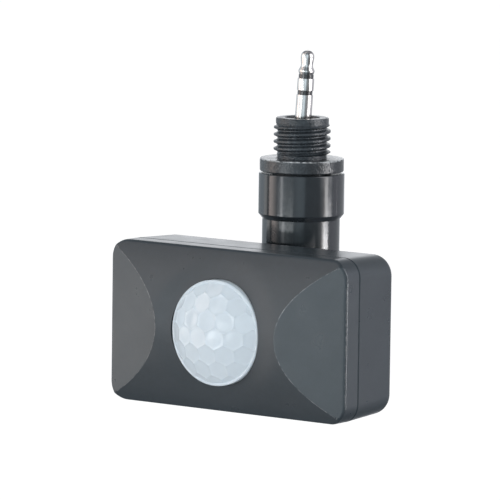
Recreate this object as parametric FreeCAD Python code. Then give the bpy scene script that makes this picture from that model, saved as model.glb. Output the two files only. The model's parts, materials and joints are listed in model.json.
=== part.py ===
# Plug-in infrared motion detector head for a floodlight.
# Frame: origin on the thread's axis at the sealing face, +Z up towards the plug,
# the lens looks along -Y, +X is on the right of someone who looks at the lens. Millimetres.
import FreeCAD, Part
import os
from math import asin, atan, cos, pi, radians, sin, sqrt, tan

Vector = FreeCAD.Vector

# Housing, seen from the front
housing_width = 60.0
housing_height = 34.0
corner_radius = 4.0
rear_corner_radius = 4.4
wall = 2.2

# Housing, front to back. The border is the plane where the face meets the top and bottom walls.
cover_depth = 4.2
rear_depth = 13.4
rear_draft = 0.42
rear_edge_radius = 1.95
parting_chamfer = 0.25

# Face: a barrel about the horizontal axis, cut by two slanted end facets
face_crown = 5.0
facet_slope = radians(17.2)
facet_edge_rise = 0.4
face_edge_radius = 0.5

# Place of the housing under the sealing face and in front of the neck's axis
housing_drop = 17.0
neck_behind = 8.06

# Lens
lens_radius = 11.0
lens_wall = 0.9
lens_rim_rise = 4.5
dome_height = 4.6
lens_gap = 0.12
lens_flange_width = 2.6
lens_flange_thickness = 1.0
lens_seat_rise = 0.2
lens_seat_margin = 0.9
retainer_thickness = 1.2
retainer_inset = 0.8
retainer_leg_radius = 0.8

# Circuit board, its place measured back from the border
board_set_back = 4.8
board_thickness = 1.2
board_side_gap = 0.7
board_edge_gap = 1.3
board_corner_radius = 1.5
board_post_radius = 2.2
board_post_side_inset = 2.5
board_post_edge_inset = 3.7

# Infrared sensor and the other parts on the board
can_radius = 4.1
can_height = 3.6
can_flange_radius = 4.6
can_flange_thickness = 0.6
can_spacer_thickness = 1.0
can_spacer_bore_radius = 2.9
can_leg_radius = 0.23
can_leg_circle_radius = 2.4
can_leg_hole_gap = 0.12
can_leg_tail = 1.2
window_width = 4.0
window_height = 3.0
window_thickness = 0.5
light_sensor_radius = 1.5
light_sensor_height = 4.0
light_sensor_offset = 7.2
chip_size = (8.7, 1.5, 3.9)
chip_place = (0.0, 4.5)
regulator_size = (4.5, 1.5, 4.0)
regulator_chip_gap = 2.4
regulator_rise = 7.0
connector_size = (7.5, 5.0, 5.8)
connector_place = (9.0, -1.0)
capacitor_radius = 2.5
capacitor_length = 6.5
capacitor_edge_radius = 0.4
capacitor_place = (-11.0, 6.0)

# Adjusters on the underside
dial_set_back = 9.6
dial_radius = 3.0
dial_gap = 0.07
dial_recess = 0.4
dial_height = 3.6
dial_edge = 0.3
dial_slot_width = 0.9
dial_slot_length = 4.1
dial_slot_depth = 1.1
dial_stem_radius = 1.2
dial_stem_length = 2.0
dial_stem_end_gap = 0.2
trimmer_width = 6.6
trimmer_height = 4.6
trimmer_gap = 0.25
trimmer_post_gap = 1.0

# Screws of the housing and of the board
screw_radius = 1.1
screw_head_radius = 2.1
screw_head_thickness = 1.5
screw_hole_gap = 0.03
screw_pass_gap = 0.15
screw_well_gap = 0.25
screw_inset = 4.6
screw_boss_radius = 2.7
screw_well_depth = 4.4
screw_bite = 3.4
board_screw_radius = 0.9
board_screw_head_radius = 1.7
board_screw_head_thickness = 1.1
board_screw_length = 5.0
board_screw_end_gap = 0.3

# Heads of all screws, as shares of the head's radius and thickness
head_edge_share = 0.35
recess_width_share = 0.28
recess_reach_share = 0.62
recess_depth_share = 0.6

# Gasket in the rim of the rear housing
gasket_inset = 0.75
gasket_width = 0.8
gasket_depth = 0.8
gasket_gap = 0.05

# Tilt joint behind the housing
pivot_drop = 32.0
pivot_screw_radius = 2.0
pivot_hole_gap = 0.06
knuckle_width = 9.0
knuckle_radius = 6.0
ear_thickness = 2.8
ear_radius = 5.8
ear_fillet_radius = 1.5
ear_root = 0.5
joint_edge_radius = 0.3
friction_washer_thickness = 0.5
friction_washer_radius = 5.0
joint_face_gap = 0.05
pivot_head_radius = 3.8
pivot_head_thickness = 2.4
pivot_nut_flats = 7.0
pivot_nut_thickness = 2.4
pivot_nut_gap = 0.1
pivot_thread_tail = 0.6

# Lead inlet at the back of the housing and the hole that faces it in the arm
inlet_radius = 2.0
inlet_above_shoulder = 2.7
grommet_bore_radius = 1.2
grommet_flange_radius = 2.8
grommet_flange_thickness = 0.8
arm_outlet_radius = 1.5

# Neck arm
tube_wall = 3.2
tube_bore_floor = 1.2
arm_back_gap = 0.5
arm_flat_drop = 0.4
shoulder_gap = 0.9
sleeve_seat_step = 0.7
sleeve_seat_gap = 0.04

# Coupling sleeve
sleeve_step = 0.85
sleeve_length = 9.7
sleeve_chamfer_height = 1.05
sleeve_top_edge = 0.25
sleeve_lip_thickness = 2.7
swivel_gap = 0.3
journal_step = 0.2
journal_gap = 0.05
swivel_play = 0.15

# Sealing washer and the spigot's flange inside it
washer_step = 0.2
washer_thickness = 2.7
washer_bore_gap = 0.1
washer_ring_width = 3.45
washer_edge_radius = 0.4
washer_cover = 0.75
flange_thickness = 0.8

# Threaded spigot
thread_radius = 6.0
thread_length = 7.4
thread_depth = 0.7
lead_step = 0.42
lead_length = 1.2
lead_chamfer = 0.35
spigot_wall = 1.7
spigot_tail = 1.6
stem_step = 0.8
o_ring_section = 0.7
o_ring_drop = 1.4
o_ring_groove_gap = 0.1

# Jack plug, 3.5 mm, three poles. It floats in its holder and leans a little, as in use.
plug_radius = 1.75
plug_tip_length = 5.2
plug_insulator_radius = 1.58
plug_insulator_length = 0.75
plug_ring_length = 2.6
plug_second_insulator_length = 0.85
plug_reach = 14.2
plug_lean = 3.2
plug_lean_heading = 35.0
plug_shank_radius = 1.5
plug_shank_length = 6.0
plug_seat_gap = 0.12
plug_hole_gap = 0.03
holder_recess = 3.0
holder_gap = 0.05

# Outline of the plug's tip: radius and distance from the nose
nose_shoulder = (0.75, 0.22)
nose_side = (1.3, 0.75)
nose_belly = (1.45, 1.4)
tip_waist = (1.23, 3.4)
tip_flare_start = 4.3
tip_flare_end = 4.6
tip_flare_step = 0.05
tip_back_step = 0.25

# How far a cut runs past the face that it leaves, and how near a place counts as the same
past = 1.0
near = 0.001

# Places worked out from the sizes above
border_y = -(neck_behind + rear_depth + cover_depth)
parting_y = border_y + cover_depth
back_y = -neck_behind
centre_z = -(housing_drop + housing_height / 2)
bottom_z = centre_z - housing_height / 2
board_y = border_y + board_set_back
board_back_y = board_y + board_thickness
board_width = housing_width - 2 * (screw_inset + screw_boss_radius + board_side_gap)
board_height = housing_height - 2 * (wall + board_edge_gap)
board_post_x = board_width / 2 - board_post_side_inset
board_post_z = board_height / 2 - board_post_edge_inset
dial_y = border_y + dial_set_back
dial_spacing = board_post_x - board_post_radius - trimmer_width / 2 - trimmer_post_gap
regulator_place = (chip_size[0] / 2 + regulator_chip_gap + regulator_size[0] / 2, regulator_rise)
pivot_z = -pivot_drop
mouth_z = thread_length + lead_length
sleeve_top_z = -(washer_thickness + swivel_gap)
sleeve_bottom_z = sleeve_top_z - sleeve_length
lip_bottom_z = sleeve_top_z - sleeve_lip_thickness
ring_top_z = lip_bottom_z - swivel_play
ring_bottom_z = ring_top_z - spigot_tail
shoulder_z = pivot_z + ear_radius + shoulder_gap
inlet_z = shoulder_z + inlet_above_shoulder
ear_inner_x = knuckle_width / 2 + joint_face_gap * 2 + friction_washer_thickness
ear_outer_x = ear_inner_x + ear_thickness
undercut_radius = thread_radius - thread_depth
lead_radius = thread_radius - lead_step
spigot_bore_radius = undercut_radius - spigot_wall
journal_radius = thread_radius + journal_step
stem_radius = journal_radius - stem_step
washer_bore_radius = undercut_radius + washer_bore_gap
washer_radius = washer_bore_radius + washer_ring_width
flange_radius = washer_radius - washer_cover
sleeve_radius = washer_radius + washer_step
tube_radius = sleeve_radius - sleeve_step
tube_bore_radius = tube_radius - tube_wall
sleeve_seat_radius = tube_radius - sleeve_seat_step
face_reach = face_crown + facet_edge_rise + 2 * past


def turned(profile, centre=Vector(0, 0, 0), axis=Vector(0, 0, 1)):
    """Revolve a closed outline of (radius, height) points about an axis."""
    points = [Vector(radius, 0, height) for radius, height in profile]
    face = Part.Face(Part.makePolygon(points + points[:1]))
    solid = face.revolve(Vector(0, 0, 0), Vector(0, 0, 1), 360)
    solid.Placement = FreeCAD.Placement(centre, FreeCAD.Rotation(Vector(0, 0, 1), axis))
    return solid


def rod(radius, start, end):
    """A round rod between two points."""
    return Part.makeCylinder(radius, (end - start).Length, start, end - start)


def block(x_range, y_range, z_range):
    """A rectangular block given by its limits."""
    corner = Vector(x_range[0], y_range[0], z_range[0])
    return Part.makeBox(
        x_range[1] - x_range[0],
        y_range[1] - y_range[0],
        z_range[1] - z_range[0],
        corner,
    )


def ring_outline(width, height, radius, y):
    """A rounded rectangle round the housing's centre, in the plane at y."""
    half_w = width / 2
    half_h = height / 2
    diagonal = radius * (1 - sqrt(0.5))
    edges = []
    corners = [(1, -1), (1, 1), (-1, 1), (-1, -1)]
    for index, (sx, sz) in enumerate(corners):
        upright = Vector(sx * half_w, y, centre_z + sz * (half_h - radius))
        level = Vector(sx * (half_w - radius), y, centre_z + sz * half_h)
        middle = Vector(sx * (half_w - diagonal), y, centre_z + sz * (half_h - diagonal))
        start, end = (level, upright) if index % 2 == 0 else (upright, level)
        edges.append((start, middle, end))
    wire_edges = []
    for index, (start, middle, end) in enumerate(edges):
        following = edges[(index + 1) % 4][0]
        wire_edges.append(Part.Arc(start, middle, end).toShape())
        wire_edges.append(Part.LineSegment(end, following).toShape())
    return Part.Wire(wire_edges)


def plate(width, height, radius, y_front, y_back):
    """A rounded rectangular plate between two planes."""
    face = Part.Face(ring_outline(width, height, radius, y_front))
    return face.extrude(Vector(0, y_back - y_front, 0))


def inset_outline(inset, radius, y):
    """The housing's outline set in by inset on every side, in the plane at y."""
    return ring_outline(housing_width - 2 * inset, housing_height - 2 * inset, radius - inset, y)


def drafted(inset, y_back, edge):
    """The rear housing's drafted form, inset on all sides, with a chamfered front rim."""
    rear_inset = inset + rear_draft * (y_back - parting_y) / rear_depth
    rings = [inset_outline(inset, corner_radius, parting_y + edge)]
    if edge > 0:
        rings.insert(0, inset_outline(inset + edge, corner_radius, parting_y))
    rings.append(inset_outline(rear_inset, rear_corner_radius, y_back))
    return Part.makeLoft(rings, True, True)


def face_form(inset):
    """The front cover's form, set in by inset on every side, open at the parting plane."""
    half_height = housing_height / 2
    barrel_radius = (half_height**2 + face_crown**2) / (2 * face_crown)
    front_y = border_y - face_reach
    prism = Part.Face(inset_outline(inset, corner_radius, front_y)).extrude(Vector(0, parting_y - front_y, 0))
    axis_y = border_y - face_crown + barrel_radius
    half_width = housing_width / 2
    barrel = rod(
        barrel_radius - inset,
        Vector(-housing_width, axis_y, centre_z),
        Vector(housing_width, axis_y, centre_z),
    )
    edge_y = border_y - facet_edge_rise + inset / cos(facet_slope)
    ridge_y = edge_y - half_width * tan(facet_slope)
    outer_y = edge_y + half_width * tan(facet_slope)
    low_z = centre_z - housing_height
    outline = [
        Vector(0, ridge_y, low_z),
        Vector(housing_width, outer_y, low_z),
        Vector(housing_width, parting_y + cover_depth, low_z),
        Vector(-housing_width, parting_y + cover_depth, low_z),
        Vector(-housing_width, outer_y, low_z),
    ]
    wedge = Part.Face(Part.makePolygon(outline + outline[:1])).extrude(Vector(0, 0, 2 * housing_height))
    return prism.common(barrel).common(wedge)


def edges_where(shape, test):
    """The edges of a shape whose middle point passes a test."""
    chosen = []
    for edge in shape.Edges:
        middle = edge.valueAt((edge.FirstParameter + edge.LastParameter) / 2)
        if test(edge, middle):
            chosen.append(edge)
    return chosen


def is_depth_line(edge):
    """True for a straight edge that runs front to back."""
    if edge.Curve.TypeId != "Part::GeomLine":
        return False
    direction = edge.Vertexes[-1].Point - edge.Vertexes[0].Point
    return abs(direction.y) > 0.9 * direction.Length


def screw_places():
    """The four housing screws, near the corners."""
    half_w = housing_width / 2 - screw_inset
    half_h = housing_height / 2 - screw_inset
    return [(sx * half_w, centre_z + sz * half_h) for sx in (-1, 1) for sz in (-1, 1)]


def post_places():
    """The four board posts; the two on one diagonal take screws."""
    return [(sx * board_post_x, centre_z + sz * board_post_z) for sx in (-1, 1) for sz in (-1, 1)]


def screwed_posts():
    """The two board posts that take a screw."""
    return [place for place in post_places() if place[0] * (place[1] - centre_z) > 0]


def dial_places():
    """Adjuster names with the places of their axes across the housing."""
    return [("time", -dial_spacing), ("light", 0.0), ("range", dial_spacing)]


def make_front_cover():
    """Moulded shell: barrel face with two end facets, lens opening, seat and screw bosses."""
    outer = face_form(0.0)
    face_edges = edges_where(
        outer,
        lambda edge, middle: middle.y < parting_y - near and not is_depth_line(edge),
    )
    outer = outer.makeFillet(face_edge_radius, face_edges)
    rim = edges_where(outer, lambda edge, middle: abs(middle.y - parting_y) < near)
    outer = outer.makeChamfer(parting_chamfer, rim)
    shell = outer.cut(face_form(wall))

    seat_y = border_y - lens_seat_rise
    seat_radius = lens_radius + lens_flange_width + lens_seat_margin
    lens_axis_front = Vector(0, border_y - face_reach, centre_z)
    seat_boss = rod(seat_radius, lens_axis_front, Vector(0, seat_y, centre_z))
    additions = [seat_boss.common(outer)]
    for x, z in screw_places():
        boss = rod(screw_boss_radius, Vector(x, border_y - face_reach, z), Vector(x, parting_y, z))
        additions.append(boss.common(outer))
    shell = shell.fuse(additions)

    lens_axis_rear = Vector(0, parting_y, centre_z)
    pocket_radius = lens_radius + lens_flange_width + lens_gap
    cuts = [
        rod(lens_radius + lens_gap, lens_axis_front, lens_axis_rear),
        rod(pocket_radius, Vector(0, seat_y, centre_z), lens_axis_rear),
    ]
    for x, z in screw_places():
        depth = parting_y - screw_bite - screw_hole_gap
        cuts.append(rod(screw_radius + screw_hole_gap, Vector(x, depth, z), Vector(x, parting_y + past, z)))
    return shell.cut(cuts).removeSplitter()


def make_lens_dome():
    """Thin dome on a short skirt, with a flange behind the cover."""
    rim_y = lens_rim_rise
    seat = lens_seat_rise
    outer_sphere = (lens_radius**2 + dome_height**2) / (2 * dome_height)
    inner_radius = lens_radius - lens_wall
    crown = rim_y + dome_height
    outer_middle = asin(lens_radius / outer_sphere) / 2
    inner_sphere = outer_sphere - lens_wall
    centre_height = crown - outer_sphere
    inner_angle = asin(inner_radius / inner_sphere)
    flange_radius_out = lens_radius + lens_flange_width

    def on_arc(radius, angle):
        return Vector(radius * sin(angle), 0, centre_height + radius * cos(angle))

    outer_start = Vector(lens_radius, 0, rim_y)
    outer_end = Vector(0, 0, crown)
    inner_start = Vector(0, 0, centre_height + inner_sphere)
    inner_end = on_arc(inner_sphere, inner_angle)
    bottom = seat - lens_flange_thickness
    corners = [
        inner_end,
        Vector(inner_radius, 0, bottom),
        Vector(flange_radius_out, 0, bottom),
        Vector(flange_radius_out, 0, seat),
        Vector(lens_radius, 0, seat),
        outer_start,
    ]
    edges = [Part.Arc(outer_start, on_arc(outer_sphere, outer_middle), outer_end).toShape()]
    edges.append(Part.LineSegment(outer_end, inner_start).toShape())
    edges.append(Part.Arc(inner_start, on_arc(inner_sphere, inner_angle / 2), inner_end).toShape())
    for start, end in zip(corners, corners[1:]):
        edges.append(Part.LineSegment(start, end).toShape())
    dome = Part.Face(Part.Wire(edges)).revolve(Vector(0, 0, 0), Vector(0, 0, 1), 360)
    turn = FreeCAD.Rotation(Vector(0, 0, 1), Vector(0, -1, 0))
    dome.Placement = FreeCAD.Placement(Vector(0, border_y, centre_z), turn)
    return dome


def make_lens_retainer():
    """Ring behind the lens flange, with three legs that the board presses on."""
    front_y = border_y - lens_seat_rise + lens_flange_thickness
    back = front_y + retainer_thickness
    outer_radius = lens_radius + lens_flange_width - retainer_inset
    mid_radius = (outer_radius + lens_radius) / 2
    ring = rod(outer_radius, Vector(0, front_y, centre_z), Vector(0, back, centre_z))
    for angle in (0, 120, 240):
        x = mid_radius * cos(radians(angle))
        z = centre_z + mid_radius * sin(radians(angle))
        ring = ring.fuse(rod(retainer_leg_radius, Vector(x, front_y, z), Vector(x, board_y, z)))
    bore_front = Vector(0, front_y - past, centre_z)
    bore = rod(lens_radius - lens_wall, bore_front, Vector(0, back + past, centre_z))
    return ring.cut(bore).removeSplitter()


def make_rear_housing():
    """Moulded tub with ears for the tilt joint, board posts, screw wells and dial holes."""
    outer = drafted(0.0, back_y, parting_chamfer)
    back_edges = edges_where(outer, lambda edge, middle: abs(middle.y - back_y) < near)
    outer = outer.makeFillet(rear_edge_radius, back_edges)
    floor_y = back_y - wall
    shell = outer.cut(drafted(wall, floor_y, 0.0))

    additions = []
    for x, z in screw_places():
        additions.append(rod(screw_boss_radius, Vector(x, parting_y, z), Vector(x, back_y, z)).common(outer))
    for x, z in post_places():
        additions.append(rod(board_post_radius, Vector(x, board_back_y, z), Vector(x, floor_y, z)))
    shell = shell.fuse(additions + [make_ear(-1), make_ear(1)])

    cuts = []
    for x, z in screw_places():
        well_y = back_y - screw_well_depth
        hole = rod(screw_radius + screw_pass_gap, Vector(x, parting_y - past, z), Vector(x, back_y, z))
        well = rod(screw_head_radius + screw_well_gap, Vector(x, well_y, z), Vector(x, back_y + past, z))
        cuts.extend([hole, well])
    for x, z in screwed_posts():
        hole_end = Vector(x, board_y + board_screw_length, z)
        cuts.append(rod(board_screw_radius + screw_hole_gap, Vector(x, parting_y, z), hole_end))
    for _, x in dial_places():
        cuts.append(rod(dial_radius + dial_gap, Vector(x, dial_y, bottom_z - past), Vector(x, dial_y, centre_z)))
    inlet = Vector(0, floor_y - past, inlet_z)
    cuts.append(rod(inlet_radius, inlet, Vector(0, back_y + past, inlet_z)))
    pivot_hole = pivot_screw_radius + pivot_hole_gap
    cuts.append(rod(pivot_hole, Vector(-housing_width, 0, pivot_z), Vector(housing_width, 0, pivot_z)))
    cuts.append(gasket_ring(gasket_gap, gasket_depth))
    shell = shell.cut(cuts)
    shell = shell.cut(nut_form(pivot_nut_gap))
    return shell.removeSplitter()


def make_ear(side):
    """One ear of the tilt joint: a plate from the housing's back, round about the pivot."""
    inner = side * ear_inner_x
    outline = [
        Vector(inner, back_y - ear_root, pivot_z - ear_radius - ear_fillet_radius),
        Vector(inner, back_y, pivot_z - ear_radius - ear_fillet_radius),
        Vector(inner, back_y + ear_fillet_radius, pivot_z - ear_radius),
        Vector(inner, 0, pivot_z - ear_radius),
    ]
    upper = [
        Vector(inner, 0, pivot_z + ear_radius),
        Vector(inner, back_y - ear_root, pivot_z + ear_radius),
    ]
    edges = [Part.LineSegment(a, b).toShape() for a, b in zip(outline, outline[1:])]
    tip = Vector(inner, ear_radius, pivot_z)
    edges.append(Part.Arc(outline[-1], tip, upper[0]).toShape())
    edges.append(Part.LineSegment(upper[0], upper[1]).toShape())
    edges.append(Part.LineSegment(upper[1], outline[0]).toShape())
    ear = Part.Face(Part.Wire(edges)).extrude(Vector(side * ear_thickness, 0, 0))
    faces_x = (inner, inner + side * ear_thickness)
    rims = edges_where(ear, lambda edge, middle: on_joint_face(middle, faces_x) and middle.y > back_y)
    return ear.makeFillet(joint_edge_radius, rims)


def on_joint_face(point, faces_x):
    """True for a point on one of two planes across the pivot."""
    return min(abs(point.x - x) for x in faces_x) < near


def gasket_ring(gap, depth):
    """The band round the rim: the groove with a gap, or the gasket itself without one."""
    outer = Part.Face(inset_outline(gasket_inset - gap, corner_radius, parting_y))
    inner = Part.Face(inset_outline(gasket_inset + gasket_width + gap, corner_radius, parting_y))
    return outer.cut(inner).extrude(Vector(0, depth, 0))


def make_circuit_board():
    """Board with holes for the sensor's legs and for its two screws."""
    board = plate(board_width, board_height, board_corner_radius, board_y, board_back_y)
    cuts = []
    holes = [(can_leg_radius + can_leg_hole_gap, place) for place in sensor_legs()]
    holes += [(board_screw_radius + screw_pass_gap, place) for place in screwed_posts()]
    for radius, (x, z) in holes:
        cuts.append(rod(radius, Vector(x, board_y - past, z), Vector(x, board_back_y + past, z)))
    return board.cut(cuts)


def sensor_legs():
    """Places of the infrared sensor's three legs."""
    places = []
    for angle in (45, 135, 225):
        x = can_leg_circle_radius * cos(radians(angle))
        z = centre_z + can_leg_circle_radius * sin(radians(angle))
        places.append((x, z))
    return places


def make_pir_sensor():
    """Metal can on its flange, with the recess of the window and three legs."""
    base_y = board_y - can_spacer_thickness
    flange_front = base_y - can_flange_thickness
    front = flange_front - can_height
    can = rod(can_flange_radius, Vector(0, base_y, centre_z), Vector(0, flange_front, centre_z))
    can = can.fuse(rod(can_radius, Vector(0, base_y, centre_z), Vector(0, front, centre_z)))
    for x, z in sensor_legs():
        end = Vector(x, board_back_y + can_leg_tail, z)
        can = can.fuse(rod(can_leg_radius, Vector(x, flange_front, z), end))
    return can.cut(window_block(front)).removeSplitter()


def window_block(front):
    """The sensor window, which fills its recess in the can."""
    return block(
        (-window_width / 2, window_width / 2),
        (front, front + window_thickness),
        (centre_z - window_height / 2, centre_z + window_height / 2),
    )


def make_pir_window():
    """Dark window in the front of the can."""
    front = board_y - can_spacer_thickness - can_flange_thickness - can_height
    return window_block(front)


def make_pir_spacer():
    """Plastic ring that keeps the can off the board."""
    front_y = board_y - can_spacer_thickness
    ring = rod(can_flange_radius, Vector(0, front_y, centre_z), Vector(0, board_y, centre_z))
    bore_front = Vector(0, front_y - past, centre_z)
    bore = rod(can_spacer_bore_radius, bore_front, Vector(0, board_y + past, centre_z))
    return ring.cut(bore)


def make_light_sensor():
    """Round light sensor beside the can, with a domed front."""
    radius = light_sensor_radius
    straight = light_sensor_height - radius
    tube = rod(
        radius,
        Vector(light_sensor_offset, board_y, centre_z),
        Vector(light_sensor_offset, board_y - straight, centre_z),
    )
    dome = Part.makeSphere(radius, Vector(light_sensor_offset, board_y - straight, centre_z))
    return tube.fuse(dome).removeSplitter()


def on_board_back(size, place):
    """A small block that stands on the board's back."""
    width, depth, height = size
    x, dz = place
    z = centre_z + dz
    return block(
        (x - width / 2, x + width / 2),
        (board_back_y, board_back_y + depth),
        (z - height / 2, z + height / 2),
    )


def make_storage_capacitor():
    """Electrolytic can that stands on the board's back."""
    x, dz = capacitor_place
    start = Vector(x, board_back_y, centre_z + dz)
    end = Vector(x, board_back_y + capacitor_length, centre_z + dz)
    can = rod(capacitor_radius, start, end)
    far = edges_where(can, lambda edge, middle: abs(middle.y - end.y) < near)
    return can.makeFillet(capacitor_edge_radius, far)


def make_trimmer(x):
    """Trimmer body on the board's back, with the hole that takes the dial's stem."""
    top = trimmer_bottom_z() + trimmer_height
    body = block(
        (x - trimmer_width / 2, x + trimmer_width / 2),
        (board_back_y, dial_y + trimmer_width / 2),
        (trimmer_bottom_z(), top),
    )
    hole_top = trimmer_bottom_z() + dial_stem_length
    hole = rod(
        dial_stem_radius + dial_gap,
        Vector(x, dial_y, trimmer_bottom_z() - past),
        Vector(x, dial_y, hole_top),
    )
    return body.cut(hole)


def trimmer_bottom_z():
    """Height of the trimmers' lower face, just above the dials."""
    return bottom_z + dial_recess + dial_height + trimmer_gap


def make_dial(x):
    """Adjuster dial with a screwdriver slot, a pointer notch and a stem into the trimmer."""
    low = bottom_z + dial_recess
    high = low + dial_height
    dial = rod(dial_radius, Vector(x, dial_y, low), Vector(x, dial_y, high))
    lower_edge = edges_where(dial, lambda edge, middle: abs(middle.z - low) < near)
    dial = dial.makeChamfer(dial_edge, lower_edge)
    stem_top = trimmer_bottom_z() + dial_stem_length - dial_stem_end_gap
    dial = dial.fuse(rod(dial_stem_radius, Vector(x, dial_y, high), Vector(x, dial_y, stem_top)))
    half = dial_slot_width / 2
    reach = dial_slot_length / 2
    depth = (low - past, low + dial_slot_depth)
    slot = block((x - reach, x + reach), (dial_y - half, dial_y + half), depth)
    pointer = block((x - half, x + half), (dial_y - reach, dial_y), depth)
    return dial.cut(slot.fuse(pointer)).removeSplitter()


def screw(radius, head_radius, head_thickness, length, seat, direction):
    """Pan-head screw with a cross recess; the head's underside lies at the seat."""
    edge = head_thickness * head_edge_share
    profile = [
        (0, head_thickness),
        (head_radius - edge, head_thickness),
        (head_radius, head_thickness - edge),
        (head_radius, 0),
        (radius, 0),
        (radius, radius - length),
        (0, -length),
    ]
    body = turned(profile)
    width = head_radius * recess_width_share
    reach = head_radius * recess_reach_share
    depth = head_thickness * recess_depth_share
    for half_x, half_y in ((reach, width), (width, reach)):
        recess = block((-half_x, half_x), (-half_y, half_y), (head_thickness - depth, head_thickness + past))
        body = body.cut(recess)
    body.Placement = FreeCAD.Placement(seat, FreeCAD.Rotation(Vector(0, 0, 1), direction))
    return body


def make_housing_screws():
    """Four screws from the back into the front cover's bosses."""
    seat_y = back_y - screw_well_depth
    length = seat_y - parting_y + screw_bite
    screws = []
    for x, z in screw_places():
        screws.append(
            screw(
                screw_radius,
                screw_head_radius,
                screw_head_thickness,
                length,
                Vector(x, seat_y, z),
                Vector(0, 1, 0),
            )
        )
    return Part.makeCompound(screws)


def make_board_screws():
    """Two screws through the board into its posts."""
    screws = []
    for x, z in screwed_posts():
        screws.append(
            screw(
                board_screw_radius,
                board_screw_head_radius,
                board_screw_head_thickness,
                board_screw_length - board_screw_end_gap,
                Vector(x, board_y, z),
                Vector(0, -1, 0),
            )
        )
    return Part.makeCompound(screws)


def make_lead_grommet():
    """Rubber grommet in the lead inlet, its flange inside the housing."""
    floor_y = back_y - wall
    inner_y = floor_y - grommet_flange_thickness
    flange = rod(grommet_flange_radius, Vector(0, inner_y, inlet_z), Vector(0, floor_y, inlet_z))
    plug = rod(inlet_radius, Vector(0, inner_y, inlet_z), Vector(0, back_y, inlet_z))
    bore = rod(grommet_bore_radius, Vector(0, inner_y - past, inlet_z), Vector(0, back_y + past, inlet_z))
    return flange.fuse(plug).cut(bore).removeSplitter()


def make_neck_arm():
    """Tube with a seat for the sleeve, flattened in front, that ends in the tilt knuckle."""
    seat_top = ring_bottom_z - swivel_play
    tube = rod(tube_radius, Vector(0, 0, shoulder_z), Vector(0, 0, sleeve_bottom_z))
    seat = rod(sleeve_seat_radius, Vector(0, 0, shoulder_z), Vector(0, 0, seat_top))
    arm = tube.fuse(seat).fuse(knuckle())
    front_y = back_y + arm_back_gap
    flat_top = -(housing_drop + arm_flat_drop)
    flat = block((-2 * tube_radius, 2 * tube_radius), (-3 * tube_radius, front_y), (pivot_z * 2, flat_top))
    bore = rod(tube_bore_radius, Vector(0, 0, shoulder_z + tube_bore_floor), Vector(0, 0, seat_top + past))
    outlet = rod(arm_outlet_radius, Vector(0, 0, inlet_z), Vector(0, -2 * tube_radius, inlet_z))
    pivot_hole = rod(
        pivot_screw_radius + pivot_hole_gap,
        Vector(-tube_radius, 0, pivot_z),
        Vector(tube_radius, 0, pivot_z),
    )
    return arm.cut([flat, bore, outlet, pivot_hole]).removeSplitter()


def knuckle():
    """Flat-sided end of the arm: round about the pivot, tangent lines up to the tube."""
    half = knuckle_width / 2
    reach = sqrt(tube_radius**2 - half**2)
    rise = shoulder_z - pivot_z
    distance = sqrt(reach**2 + rise**2)
    turn = atan(reach / rise) + asin(knuckle_radius / distance) - pi / 2
    side_y = knuckle_radius * cos(turn)
    side_z = pivot_z + knuckle_radius * sin(turn)
    top = shoulder_z + tube_bore_floor
    right = [Vector(-half, side_y, side_z), Vector(-half, reach, shoulder_z), Vector(-half, reach, top)]
    left = [Vector(-half, -reach, top), Vector(-half, -reach, shoulder_z), Vector(-half, -side_y, side_z)]
    corners = right + left
    edges = [Part.LineSegment(a, b).toShape() for a, b in zip(corners, corners[1:])]
    edges.append(Part.Arc(left[-1], Vector(-half, 0, pivot_z - knuckle_radius), right[0]).toShape())
    body = Part.Face(Part.Wire(edges)).extrude(Vector(knuckle_width, 0, 0))
    rims = edges_where(body, lambda edge, middle: on_joint_face(middle, (-half, half)) and middle.z < top - near)
    return body.makeFillet(joint_edge_radius, rims)


def make_friction_washers():
    """One thin washer on each side of the knuckle."""
    washers = []
    for side in (-1, 1):
        start_x = side * (knuckle_width / 2 + joint_face_gap)
        end_x = side * (ear_inner_x - joint_face_gap)
        disc = rod(friction_washer_radius, Vector(start_x, 0, pivot_z), Vector(end_x, 0, pivot_z))
        hole = rod(
            pivot_screw_radius + pivot_hole_gap,
            Vector(start_x - side, 0, pivot_z),
            Vector(end_x + side, 0, pivot_z),
        )
        washers.append(disc.cut(hole))
    return Part.makeCompound(washers)


def nut_form(gap):
    """Hexagon of the nut, let into the left ear, with a gap for its pocket."""
    across_corners = (pivot_nut_flats + 2 * gap) / cos(pi / 6)
    seat_x = -(ear_outer_x - pivot_nut_thickness / 2)
    points = []
    for step in range(6):
        angle = step * pi / 3
        points.append(
            Vector(seat_x, across_corners / 2 * cos(angle), pivot_z + across_corners / 2 * sin(angle))
        )
    hexagon = Part.Face(Part.makePolygon(points + points[:1]))
    return hexagon.extrude(Vector(-pivot_nut_thickness, 0, 0))


def make_pivot_nut():
    """Hexagon nut in its pocket on the left ear."""
    hole = rod(
        pivot_screw_radius + pivot_hole_gap,
        Vector(-housing_width, 0, pivot_z),
        Vector(0, 0, pivot_z),
    )
    return nut_form(0.0).cut(hole)


def make_pivot_screw():
    """Screw across both ears and the knuckle, its head on the right."""
    nut_end = ear_outer_x + pivot_nut_thickness / 2
    length = ear_outer_x + nut_end + pivot_thread_tail
    return screw(
        pivot_screw_radius,
        pivot_head_radius,
        pivot_head_thickness,
        length,
        Vector(ear_outer_x, 0, pivot_z),
        Vector(1, 0, 0),
    )


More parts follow.
